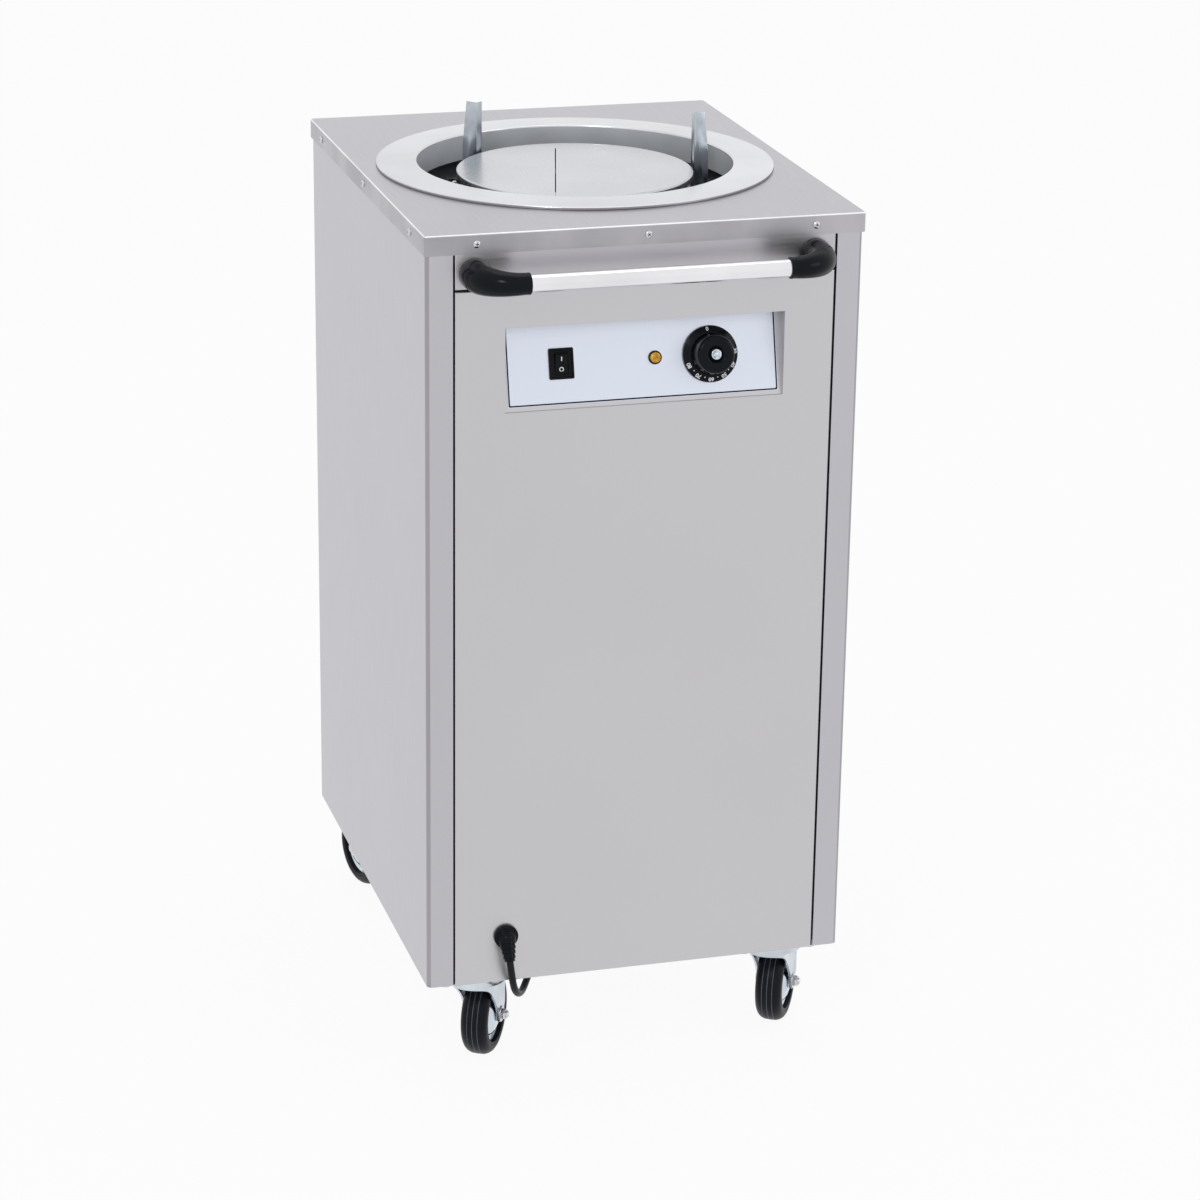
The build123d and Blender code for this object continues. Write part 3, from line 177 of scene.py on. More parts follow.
ALONG_X = (0.02, 1.0, 1.0)
ALONG_Y = (1.0, 0.02, 1.0)
ALONG_Z = (1.0, 1.0, 0.02)
materials = {
    "panel": metal("stainless_panel", (0.57, 0.56, 0.58), 0.34, ALONG_Z, tone=0.012),
    # painted shade: the side panels' metal is the front panels' metal made darker, as the sheets
    # facing aside look
    "side": metal("stainless_side_shaded", (0.52, 0.51, 0.545), 0.34, ALONG_Z, tone=0.012),
    "handle_panel": metal("stainless_handle_panel", (0.535, 0.52, 0.55), 0.34, ALONG_X, tone=0.012),
    "cover": metal("stainless_cover", (0.475, 0.465, 0.495), 0.32, ALONG_Y, tone=0.02),
    # painted shade: the cover's skirt is a darker copy of the cover metal, and its cloudy tone
    # stands for painted reflections
    "skirt": metal(
        "stainless_skirt_shaded", (0.43, 0.42, 0.445), 0.36, ALONG_X, tone=0.14, bump=0.04, cloud=14.0
    ),
    # painted highlight: a much lighter copy of the cover metal for the bright line along the cover's
    # rounded top edge
    "fold_highlight": metal("stainless_fold_highlight", (0.86, 0.86, 0.88), 0.28, ALONG_X, tone=0.08, cloud=14.0),
    # painted shade: a darker copy of the side metal for the side panels' rounded front bend and the
    # top ring's outer rim
    "bend_shade": metal("stainless_bend_shade", (0.36, 0.35, 0.375), 0.34, ALONG_Z, tone=0.06),
    # painted shade: black strips in the panel joints stand for the shade inside the open gaps
    "gap_shade": plastic("gap_shade_black", (0.01, 0.01, 0.012), 0.60, gloss=0.1),
    "collar": metal("ring_collar", (0.62, 0.64, 0.67), 0.38, tone=0.16, cloud=9.0, metallic=0.1),
    "ring": metal("stainless_ring", (0.67, 0.675, 0.705), 0.22, tone=0.11, cloud=6.0),
    "disc": metal("polished_disc", (0.6, 0.61, 0.64), 0.27, spread=0.03, tone=0.05, cloud=9.0),
    "inner": metal(
        "inner_sheet", (0.66, 0.68, 0.70), 0.45, ALONG_Z, tone=0.12, cloud=12.0, metallic=0.35
    ),
    "plate": metal("control_plate", (0.7, 0.74, 0.83), 0.38, ALONG_X, tone=0.01),
    "guide": metal(
        "guide_steel", (0.44, 0.48, 0.52), 0.24, ALONG_Z, tone=0.22, bump=0.05, cloud=35.0
    ),
    "bar": metal(
        "bar_steel", (0.80, 0.80, 0.82), 0.12, ALONG_X, spread=0.03, tone=0.05, cloud=12.0
    ),
    "screw": metal("screw_steel", (0.62, 0.62, 0.64), 0.22),
    "zinc": metal(
        "caster_zinc", (0.60, 0.65, 0.70), 0.26, tone=0.14, scale=500, bump=0.04, cloud=30.0
    ),
    "hub": metal("hub_cap", (0.58, 0.64, 0.70), 0.12, spread=0.03, tone=0.10, cloud=40.0),
    "spring": metal("spring_wire", (0.50, 0.50, 0.52), 0.32),
    "element": metal("element_sheath", (0.22, 0.21, 0.20), 0.50, tone=0.1),
    "black": plastic("black_plastic", (0.004, 0.005, 0.008), 0.17, bump=0.01, gloss=0.12),
    "switch": plastic("switch_black", (0.005, 0.005, 0.006), 0.30, bump=0.02, gloss=0.12),
    "cord": plastic("cord_black", (0.007, 0.008, 0.01), 0.38, bump=0.04, gloss=0.18),
    "tyre": plastic("tyre_rubber", (0.005, 0.006, 0.01), 0.38, scale=350, bump=0.06, gloss=0.14),
    "stripe": plastic("tyre_stripe", (0.115, 0.125, 0.16), 0.50, scale=350),
    "bush": plastic("bush_nylon", (0.72, 0.70, 0.64), 0.45),
    "terminal": plastic("terminal_nylon", (0.70, 0.69, 0.62), 0.45),
    "mark": plastic("white_mark", (0.95, 0.95, 0.95), 0.50, tone=0.02),
    # painted shade: the dark line round the control plate's edge stands for the shadow there
    "edge_shade": plastic("plate_edge_shade", (0.012, 0.016, 0.045), 0.45, tone=0.05, gloss=0.2),
    "amber": plastic("amber_lens", (0.80, 0.34, 0.008), 0.10, scale=260, tone=0.60, coat=0.2),
    "rim": plastic("lamp_rim_brown", (0.03, 0.016, 0.008), 0.25, gloss=0.2),
}

CAD_LOOKS = {
    "panel": "rear_panel front_panel front_rail control_recess",
    "side": "left_side_panel right_side_panel",
    "handle_panel": "handle_panel",
    "cover": "top_cover",
    "ring": "top_ring",
    "disc": "platform_disc",
    "inner": "base_pan well_deck well_drum",
    "plate": "control_plate",
    "guide": "plate_guide_left plate_guide_right carrier_frame element_clips",
    "bar": "handle_bar guide_rods",
    "screw": "panel_screws handle_bolts spring_pins caster_bolts gland_nut knob_cap "
    "thermostat_bulb",
    "spring": "extension_springs",
    "element": "heating_element",
    "black": "handle_elbow_left handle_elbow_right knob cable_gland thermostat_body lamp_body",
    "switch": "switch_housing switch_rocker",
    "cord": "mains_cord cord_coil mains_plug",
    "bush": "guide_bushings",
    "terminal": "terminal_block",
    "zinc": "caster_plates",
    "amber": "lamp_lens",
}
CASTERS = ("front_left", "front_right", "rear_left", "rear_right")
SMOOTH_ANGLE = radians(28)


def add_looks(mesh, *looks):
    """Append materials to a mesh, in order."""
    for look in looks:
        mesh.materials.append(materials[look])


def dress(node, look):
    """Give a CAD node its material, and shade its round faces smooth."""
    mesh = nodes[node].data
    mesh.materials.clear()
    add_looks(mesh, look)
    mesh.polygons.foreach_set("use_smooth", [True] * len(mesh.polygons))
    mesh.set_sharp_from_angle(angle=SMOOTH_ANGLE)


for look, names in CAD_LOOKS.items():
    for node in names.split():
        dress(node, look)
# The side panels' rounded front bend takes the painted shade of the darker bend metal.
for node in ("left_side_panel", "right_side_panel"):
    side_mesh = nodes[node].data
    add_looks(side_mesh, "bend_shade")
    for polygon in side_mesh.polygons:
        facing = polygon.normal  # the round front bend faces partly forward and partly aside
        polygon.material_index = 1 if facing.y < -0.2 and abs(facing.x) > 0.45 else 0
for caster in CASTERS:
    dress(f"caster_fork_{caster}", "zinc")
    dress(f"caster_axle_{caster}", "screw")
    dress(f"caster_hub_{caster}", "hub")
    dress(f"caster_tyre_{caster}", "tyre")

# ---------------------------------------------------------------- mesh helpers

UNMOVED = Matrix.Identity(4)


def finish_piece(name, mesh, look, replaced=None, place=None, body="cabinet"):
    """Make an object of a mesh, place it, put it under its body, and hide what it replaces."""
    mesh.materials.clear()
    add_looks(mesh, look)
    if place is not None:
        mesh.transform(place)
    mesh.polygons.foreach_set("use_smooth", [True] * len(mesh.polygons))
    mesh.set_sharp_from_angle(angle=SMOOTH_ANGLE)
    mesh.update()
    piece = add_object(name, mesh)
    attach(piece, body)
    if replaced:
        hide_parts(replaced)
    return piece


def made_mesh(form, name, normals=True):
    """The mesh of a finished form, with its normals turned outward unless told otherwise."""
    if normals:
        bmesh.ops.recalc_face_normals(form, faces=form.faces)
    mesh = bpy.data.meshes.new(name)
    form.to_mesh(mesh)
    form.free()
    return mesh


def add_wall(form, low, high):
    """Faces between two closed rings of vertices."""
    for index in range(len(low)):
        after = (index + 1) % len(low)
        form.faces.new((low[index], low[after], high[after], high[index]))


def placed(point, x, y, z):
    """A matrix with its origin at a point and its axes along three directions."""
    return Matrix.Translation(point) @ Matrix((x, y, z)).transposed().to_4x4()


def axis_place(point, direction, across=(1, 0, 0)):
    """A matrix whose Z runs along a direction from a point."""
    z = Vector(direction).normalized()
    y = z.cross(Vector(across))
    if y.length < 1e-6:
        y = z.cross(Vector((0, 1, 0)))
    y.normalize()
    return placed(point, y.cross(z), y, z)


def rounded(points, radii, steps=5):
    """A chain of (radius, height) points with its inner corners rounded."""
    chain = [Vector(points[0])]
    for before, corner, after, radius in zip(points, points[1:], points[2:], radii):
        before, corner, after = Vector(before), Vector(corner), Vector(after)
        if radius <= 0:
            chain.append(corner)
            continue
        into, out = (corner - before).normalized(), (after - corner).normalized()
        turn = into.angle(out)
        if turn < 0.01:
            chain.append(corner)
            continue
        shorter = min((corner - before).length, (after - corner).length)
        cut = min(radius * tan(turn / 2), 0.49 * shorter)
        start, end = corner - into * cut, corner + out * cut
        for step in range(steps + 1):
            share = step / steps
            first, second = start.lerp(corner, share), corner.lerp(end, share)
            chain.append(first.lerp(second, share))
    chain.append(Vector(points[-1]))
    return chain


def lathe(name, profile, segments):
    """A mesh turned about Z from (radius, height) points in millimetres."""
    form = bmesh.new()
    rings = []
    for radius, height in profile:
        radius, height = radius * MM, height * MM
        if radius < 1e-7:
            rings.append([form.verts.new((0, 0, height))])
            continue
        ring = []
        for index in range(segments):
            turn = 2 * pi * index / segments
            ring.append(form.verts.new((*polar(radius, turn), height)))
        rings.append(ring)
    for low, high in zip(rings, rings[1:]):
        for index in range(segments):
            after = (index + 1) % segments
            below = [low[index % len(low)], low[after % len(low)]]
            above = [high[after % len(high)], high[index % len(high)]]
            unique = list(dict.fromkeys(below + above))
            if len(unique) > 2:
                form.faces.new(unique)
    return made_mesh(form, name)


def joined(name, parts):
    """One mesh from several (mesh, matrix) pairs."""
    form = bmesh.new()
    for mesh, place in parts:
        copy = mesh.copy()
        copy.transform(place)
        form.from_mesh(copy)
        bpy.data.meshes.remove(copy)
    return made_mesh(form, name, normals=False)


def bevelled(mesh, width, segments=3, angle=40):
    """Round the sharp edges of a mesh."""
    form = bmesh.new()
    form.from_mesh(mesh)
    limit = radians(angle)
    edges = [edge for edge in form.edges if edge.is_manifold and edge.calc_face_angle(0) > limit]
    bmesh.ops.bevel(form, geom=edges, offset=width, segments=segments, affect="EDGES", profile=0.5)
    form.to_mesh(mesh)
    form.free()
    return mesh


def prism(name, outline, low, high):
    """A mesh from a closed (x, y) outline between two heights."""
    form = bmesh.new()
    bottom = [form.verts.new((x, y, low)) for x, y in outline]
    top = [form.verts.new((x, y, high)) for x, y in outline]
    form.faces.new(list(reversed(bottom)))
    form.faces.new(top)
    add_wall(form, bottom, top)
    return made_mesh(form, name)


def swept(name, points, radii, sides):
    """A mesh tube along points, with its own radius at each point."""
    form = bmesh.new()
    rings = []
    normal = None
    for index, point in enumerate(points):
        before = points[max(index - 1, 0)]
        after = points[min(index + 1, len(points) - 1)]
        along = (after - before).normalized()
        if normal is None:
            normal = along.orthogonal().normalized()
        normal = (normal - along * normal.dot(along)).normalized()
        other = along.cross(normal)
        ring = []
        for side in range(sides):
            turn = 2 * pi * side / sides
            outward = cos(turn) * normal + sin(turn) * other
            ring.append(form.verts.new(point + radii[index] * outward))
        rings.append(ring)
    for low, high in zip(rings, rings[1:]):
        add_wall(form, low, high)
    form.faces.new(list(reversed(rings[0])))
    form.faces.new(rings[-1])
    return made_mesh(form, name)


# ---------------------------------------------------------------- camera, light and floor

CAMERA_PLACE = Vector((-1.017, -3.624, 0.869))  # from the middle of the top surface
CAMERA_YAW = radians(16.17)
CAMERA_PITCH = radians(19.76)
CAMERA_ROLL = radians(0.80)
FOCAL_PIXELS = 3684.0
FRAME_PIXELS = 1200.0
SENSOR = 36.0

camera_data = bpy.data.cameras.new("camera")
camera_data.sensor_width = SENSOR
camera_data.lens = FOCAL_PIXELS / FRAME_PIXELS * SENSOR
camera_data.clip_start = 0.05
camera_data.clip_end = 60
camera = add_object("camera", camera_data)
camera.location = Vector((0, centre_y, top_z)) + CAMERA_PLACE
forward = Vector((
    sin(CAMERA_YAW) * cos(CAMERA_PITCH),
    cos(CAMERA_YAW) * cos(CAMERA_PITCH),
    -sin(CAMERA_PITCH),
))
right = Vector((cos(CAMERA_YAW), -sin(CAMERA_YAW), 0))
upward = right.cross(forward)
camera_x = cos(CAMERA_ROLL) * right + sin(CAMERA_ROLL) * upward
camera_y = -sin(CAMERA_ROLL) * right + cos(CAMERA_ROLL) * upward
camera.rotation_mode = "QUATERNION"
camera.rotation_quaternion = Matrix((camera_x, camera_y, -forward)).transposed().to_quaternion()
scene.camera = camera

scene.view_settings.view_transform = "Standard"

world = bpy.data.worlds.new("studio")
scene.world = world
world.use_nodes = True
world_nodes = world.node_tree.nodes
world_links = world.node_tree.links
background = world_nodes["Background"]
background.inputs["Color"].default_value = (0.80, 0.81, 0.82, 1)
background.inputs["Strength"].default_value = 0.72  # the room's light on the object
# The backdrop as the camera, metal and glass see it.
white = add_node(world.node_tree, "Background", Color=(1, 1, 1, 1), Strength=1.0)
mix = add_node(world.node_tree, "MixShader")


def ray_share(tree, first, *others):
    """A socket that is 1 for rays of the kinds named and 0 for the rest."""
    path = add_node(tree, "LightPath")
    share = path.outputs[first]
    for ray in others:
        either = add_node(tree, "Math")
        either.operation = "MAXIMUM"
        tree.links.new(share, either.inputs[0])
        tree.links.new(path.outputs[ray], either.inputs[1])
        share = either.outputs["Value"]
    return share


seen = ray_share(world.node_tree, "Is Camera Ray", "Is Glossy Ray", "Is Transmission Ray")
world_links.new(seen, mix.inputs["Fac"])
world_links.new(background.outputs["Background"], mix.inputs[1])
world_links.new(white.outputs["Background"], mix.inputs[2])
world_links.new(mix.outputs["Shader"], world_nodes["World Output"].inputs["Surface"])

FLOOR_WHITE = 0.93  # how far the floor is plain white; the rest shows the shadow
FLOOR_HALF = 30.0


def floor_material():
    """A white studio floor that still takes the object's shadow."""
    material, tree, shader = new_material("studio_floor")
    shader.inputs["Base Color"].default_value = (0.93, 0.93, 0.93, 1)
    shader.inputs["Roughness"].default_value = 0.9
    emission = add_node(tree, "Emission", Strength=1.0)
    blend_shader = add_node(tree, "MixShader")
    share = add_node(tree, "Math")
    share.operation = "MULTIPLY"
    share.inputs[1].default_value = FLOOR_WHITE
    tree.links.new(ray_share(tree, "Is Camera Ray", "Is Glossy Ray"), share.inputs[0])
    tree.links.new(share.outputs["Value"], blend_shader.inputs["Fac"])
    tree.links.new(shader.outputs["BSDF"], blend_shader.inputs[1])
    tree.links.new(emission.outputs["Emission"], blend_shader.inputs[2])
    tree.links.new(blend_shader.outputs["Shader"], tree.nodes["Material Output"].inputs["Surface"])
    return material


floor_mesh = bpy.data.meshes.new("floor")
floor_turns = ((-1, -1), (1, -1), (1, 1), (-1, 1))
floor_corners = [(x * FLOOR_HALF, y * FLOOR_HALF, 0) for x, y in floor_turns]
floor_mesh.from_pydata(floor_corners, [], [(0, 1, 2, 3)])
floor_mesh.materials.append(floor_material())
floor = add_object("floor", floor_mesh)
floor.location.z = -0.0005  # just below the wheels

LAMPS = (  # name, place, size in metres, watts
    ("key", (-2.2, -3.4, 3.6), 0.9, 26.0),
    ("fill", (3.2, -2.6, 2.2), 1.6, 12.0),
    ("overhead", (0.3, 0.6, 3.6), 1.6, 8.0),
)
LAMP_TARGET = Vector((0, centre_y, 0.5))
for label, place, size, power in LAMPS:
    lamp_data = bpy.data.lights.new(label, "AREA")
    lamp_data.shape = "SQUARE"
    lamp_data.size = size
    lamp_data.energy = power
    lamp = add_object(label, lamp_data)
    lamp.location = place
    aim = LAMP_TARGET - Vector(place)
    lamp.rotation_mode = "QUATERNION"
    lamp.rotation_quaternion = aim.to_track_quat("-Z", "Y")

# ---------------------------------------------------------------- sheet pieces with eased edges


def softened(name, node, width, look, lowest=-1.0):
    """A copy of a CAD node's form that stands for it, its sharp edges above a level rounded."""
    form = bmesh.new()
    form.from_mesh(nodes[node].data)
    form.transform(nodes[node].matrix_world)
    bmesh.ops.remove_doubles(form, verts=form.verts, dist=0.00001)
    verts = [vert for vert in form.verts if vert.co.z > lowest]
    edges = [edge for edge in form.edges if min(vert.co.z for vert in edge.verts) > lowest]
    flat = radians(1)
    bmesh.ops.dissolve_limit(
        form, angle_limit=flat, verts=verts, edges=edges, use_dissolve_boundaries=False
    )
    sharp = radians(35)
    edges = [edge for edge in form.edges if edge.is_manifold and edge.calc_face_angle(0) > sharp]
    edges = [edge for edge in edges if min(vert.co.z for vert in edge.verts) > lowest]
    bmesh.ops.bevel(
        form, geom=edges, offset=width, segments=2, affect="EDGES", profile=0.5, clamp_overlap=True
    )
    mesh = made_mesh(form, name, normals=False)
    return finish_piece(name, mesh, look, node)


rim_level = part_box("top_cover")[0].z + 0.004  # the folded skirt's lower rim stays as it is
cover = softened("cover_folded", "top_cover", 0.0016, "cover", rim_level)
add_looks(cover.data, "skirt", "fold_highlight")
# The flat top keeps the cover metal; the upward rounded edge takes the painted highlight, and the
# walls below take the painted shade of the skirt.
for polygon in cover.data.polygons:
    level = polygon.normal.z
    polygon.material_index = 0 if abs(level) > 0.97 else 2 if level > 0.2 else 1
    polygon.use_smooth = abs(level) < 0.97
for side in ("left", "right"):
    softened(f"guide_blade_{side}", f"plate_guide_{side}", 0.0005, "guide")


def box_mesh(name, low, high):
    """A small box with eased edges between two corners in millimetres."""
    (x0, y0, z0), (x1, y1, z1) = low, high
    outline = [(x * MM, y * MM) for x, y in ((x0, y0), (x1, y0), (x1, y1), (x0, y1))]
    return bevelled(prism(name, outline, z0 * MM, z1 * MM), 0.3 * MM, segments=2)


# ---------------------------------------------------------------- top ring

ring_low, ring_high, ring_middle = box_mm("top_ring")
ring_outer = ring_high.x - ring_middle.x
ring_top = ring_high.z
ring_bottom = ring_low.z
RING_SHEET = 1.4
RING_WIDTH = 42.4
RING_RISE = 3.9
RING_SLOPE = 0.8
LIP_RADIUS = 2.4
ring_inner = ring_outer - RING_WIDTH


def make_top_ring():
    """The rolled ring round the well: a rounded outer edge, a flat flange and a rounded lip."""
    points = [
        (ring_inner + RING_SHEET, ring_bottom + 0.4),
        (ring_inner, ring_bottom),
        (ring_inner, ring_top),
        (ring_inner + 4.0, ring_top),
        (ring_outer, ring_top - RING_SLOPE),
        (ring_outer, ring_top - RING_RISE),
        (ring_outer - RING_SHEET, ring_top - RING_RISE),
        (ring_outer - RING_SHEET, ring_top - RING_SHEET - RING_SLOPE),
        (ring_inner + RING_SHEET, ring_top - RING_SHEET),
        (ring_inner + RING_SHEET, ring_bottom + 0.4),
    ]
    profile = rounded(points, (0.4, LIP_RADIUS, 0.0, 1.6, 0.5, 0.5, 0.6, 0.8), steps=7)
    mesh = lathe("top_ring_rolled", profile, 192)
    place = Matrix.Translation((0, centre_y, 0))
    ring = finish_piece("top_ring_rolled", mesh, "ring", "top_ring", place)
    add_looks(ring.data, "collar", "bend_shade")
    for polygon in ring.data.polygons:
        reach = (polygon.center.xy - place.translation.xy).length / MM
        # The outer rim's side takes the painted shade of the darker bend metal, standing for the
        # shadow line under the rolled edge.
        if reach > ring_outer - 0.3 and polygon.normal.z < 0.3:
            polygon.material_index = 2
        below_lip = polygon.center.z < (ring_top - LIP_RADIUS - 0.1) * MM
        if below_lip and reach < ring_inner + 2 * RING_SHEET:
            polygon.material_index = 1


make_top_ring()


JOINT = 2.0  # the open joint beside the front panels
SHADE_PLAY = 0.15
SHADE_SETBACK = 1.6
SHADE_DEPTH = 6.0


def make_joint_shade():
    """Painted shade: dark strips set back in the open joints beside and above the front panels."""
    front_low, front_high, _ = box_mm("front_panel")
    handle_low, handle_high, _ = box_mm("handle_panel")
    near, far = front_low.y + SHADE_SETBACK, front_low.y + SHADE_DEPTH
    side_x = front_high.x
    strips = []
    for side in (-1, 1):
        x_low, x_high = sorted((side * (side_x + SHADE_PLAY), side * (side_x + JOINT - SHADE_PLAY)))
        strips.append(((x_low, near, front_low.z + 1), (x_high, far, handle_high.z - 1)))
    z_low, z_high = front_high.z + SHADE_PLAY, handle_low.z - SHADE_PLAY
    strips.append(((-side_x, near, z_low), (side_x, far, z_high)))
    shift = Matrix.Translation((0, centre_y, 0))
    whole = joined("joint_shade_strips", [(box_mesh("gap_shade", low, high), shift) for low, high in strips])
    finish_piece("joint_shade_strips", whole, "gap_shade")


make_joint_shade()

# ---------------------------------------------------------------- control plate

plate_out = -Vector(joints["knob_turn"]["axis"]).normalized()
plate_across = Vector((1, 0, 0))
plate_up = plate_out.cross(plate_across)
plate_low, plate_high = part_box("control_plate")
PLATE_SHEET = 0.8
plate_middle = (plate_low + plate_high) / 2 + plate_out * PLATE_SHEET / 2 * MM
plate_half_x = (plate_high.x - plate_low.x) / 2 / MM
plate_half_y = (plate_high.z - plate_low.z) / 2 / MM / plate_up.z - 0.1
switch_x = joints["rocker_pivot"]["pos_m"][0] / MM
lamp_x = box_mm("lamp_lens")[2].x
knob_x = joints["knob_turn"]["pos_m"][0] / MM


def on_plate(x):
    """A place on the control plate's level middle line, in millimetres across, as a matrix."""
    point = plate_middle + x * plate_across * MM
    return placed(point, plate_across, plate_up, plate_out)


def rounded_rectangle(width, height, radius):
    """The outline of a rectangle with round corners, about its middle."""
    outline = []
    steps = 5
    for index, (x, y) in enumerate(((1, 1), (-1, 1), (-1, -1), (1, -1))):
        middle = Vector((x * (width / 2 - radius), y * (height / 2 - radius)))
        for step in range(steps + 1):
            turn = radians(90 * (index + step / steps))
            outline.append(middle + Vector(polar(radius, turn)))
    return outline


def stacked(name, layers, closed=True):
    """A mesh through rounded rectangles (width, height, radius, level), in millimetres."""
    form = bmesh.new()
    rings = []
    for width, height, radius, level in layers:
        outline = rounded_rectangle(width, height, radius)
        rings.append([form.verts.new((x * MM, y * MM, level * MM)) for x, y in outline])
    for low, high in zip(rings, rings[1:]):
        add_wall(form, low, high)
    if closed:
        form.faces.new(list(reversed(rings[0])))
        form.faces.new(rings[-1])
    return made_mesh(form, name)


def make_plate_edge_shade():
    """Painted shade: a dark line round the edge of the control plate, for the shadow at its edge."""
    inset, width, lift = 0.5, 1.5, 0.06
    outer_x, outer_y = plate_half_x - inset, plate_half_y - inset
    layers = [
        (2 * outer_x, 2 * outer_y, 1.5, 0.0),
        (2 * outer_x, 2 * outer_y, 1.5, lift),
        (2 * (outer_x - width), 2 * (outer_y - width), 1.2, lift),
        (2 * (outer_x - width), 2 * (outer_y - width), 1.2, 0.0),
    ]
    mesh = stacked("plate_edge_shade", layers, closed=False)
    finish_piece("plate_edge_shade", mesh, "edge_shade", place=on_plate(0))


TEXT_WEIGHT = 0.15  # how far each stroke is thickened


def make_text(text, size, depth):
    """A mesh of plain text, centred, in metres."""
    curve = bpy.data.curves.new("text", "FONT")
    curve.body = text
    curve.size = size
    curve.extrude = depth / 2
    curve.offset = TEXT_WEIGHT * MM
    curve.align_x = "CENTER"
    curve.align_y = "CENTER"
    holder = add_object("text", curve)
    bpy.context.view_layer.update()
    mesh = bpy.data.meshes.new_from_object(holder)
    bpy.data.objects.remove(holder)
    bpy.data.curves.remove(curve)
    return mesh


ROCKER_TILT = radians(12)  # half its throw


def make_switch():
    """The rocker switch: a stepped bezel with a sunk pocket, and the rocker with its I and O."""
    layers = [
        (25.5, 31.0, 1.6, 0.0),
        (25.5, 31.0, 1.6, 1.3),
        (24.7, 30.2, 1.4, 2.1),
        (21.2, 26.8, 1.2, 2.1),
        (20.2, 25.8, 1.0, 1.1),
        (14.6, 22.6, 0.7, 0.9),
        (13.9, 21.9, 0.5, 0.4),
        (13.9, 21.9, 0.5, -5.6),
    ]
    mesh = stacked("switch_bezel", layers)
    body = stacked("switch_case", [(21.4, 27.4, 0.6, -25.8), (21.4, 27.4, 0.6, -5.8)])
    tab = stacked("tab", [(6.3, 0.8, 0.2, -33.6), (6.3, 0.8, 0.2, -25.8)])
    parts = [(mesh, UNMOVED), (body, UNMOVED)]
    parts += [(tab, Matrix.Translation((0, y * MM, 0))) for y in (-8, 0, 8)]
    whole = joined("switch_bezel_stepped", parts)
    place = on_plate(switch_x)
    finish_piece("switch_bezel_stepped", whole, "switch", "switch_housing", place)
    tilt = Matrix.Rotation(ROCKER_TILT, 4, "X")
    pivot = Vector(joints["rocker_pivot"]["pos_m"])
    place = placed(pivot, plate_across, plate_up, plate_out) @ tilt
    half, top, dip, low = 9.9, 2.2, 1.44, -5.2
    section = [(-half, top), (-half, -1.0), (-2.6, low), (2.6, low), (half, -1.0), (half, top)]
    for share in (0.66, 0.33, 0, -0.33, -0.66):
        section.append((half * share, dip + (top - dip) * share * share))
    section = [(x * MM, y * MM) for x, y in section]
    width = 6.35 * MM
    rocker = bevelled(prism("rocker", section, -width, width), 0.35 * MM, angle=30)
    stand = Matrix(((0, 0, 1), (1, 0, 0), (0, 1, 0))).to_4x4()
    rocker.transform(stand)
    key = "switch_rocker"
    finish_piece("rocker_key", rocker, "black", key, place, body=key)
    slope = atan((top - dip) / half)
    bar = stacked("one", [(1.0, 4.8, 0.3, -0.2), (1.0, 4.8, 0.3, 0.06)])
    ring = lathe("zero", [(1.55, -0.2), (1.55, 0.06), (2.35, 0.06), (2.35, -0.2), (1.55, -0.2)], 40)
    marks = []
    for mark, y, lean in ((bar, 5.4, slope), (ring, -5.4, -slope)):
        height = dip + (top - dip) * (abs(y) / half) ** 2
        spot = Matrix.Translation((0, y * MM, height * MM))
        marks.append((mark, spot @ Matrix.Rotation(lean, 4, "X")))
    legend = joined("rocker_legend", marks)
    finish_piece("rocker_legend", legend, "mark", place=place, body=key)


def make_lamp():
    """The pilot lamp: a dark rim and a faceted amber lens."""
    rim = [(0, 0), (6.9, 0), (6.9, 1.2), (6.5, 1.9), (5.9, 2.0), (5.7, 1.7), (5.7, 0.9), (0, 0.9)]
    mesh = lathe("lamp_rim", rim, 64)
    barrel = lathe("barrel", [(0, -28), (4.6, -28), (4.95, -27.6), (4.95, 0), (0, 0)], 48)
    whole = joined("lamp_rim", [(mesh, UNMOVED), (barrel, UNMOVED)])
    place = on_plate(lamp_x)
    finish_piece("lamp_rim", whole, "rim", "lamp_body", place)
    lens = [(0, 0.9), (5.5, 0.9), (5.5, 2.6), (5.1, 3.5), (3.4, 4.3), (2.2, 4.0), (0, 4.35)]
    lens_mesh = lathe("lens", lens, 12)
    finish_piece("lamp_facets", lens_mesh, "amber", "lamp_lens", place)


KNOB_MARKS = [(96, "0"), (4, "30"), (-28, "40"), (-60, "50"), (-92, "60")]
KNOB_MARKS += [(-124, "70"), (-156, "80")]
KNOB_DOTS = (-12, -44, -76, -108, -140)
DOT_SHIFT = -1.2
NUMERAL_SIZE = 5.6
NUMERAL_SHEET = 0.12
SKIRT_OUTER = (28.0, 2.9)
SKIRT_INNER = (22.4, 5.1)


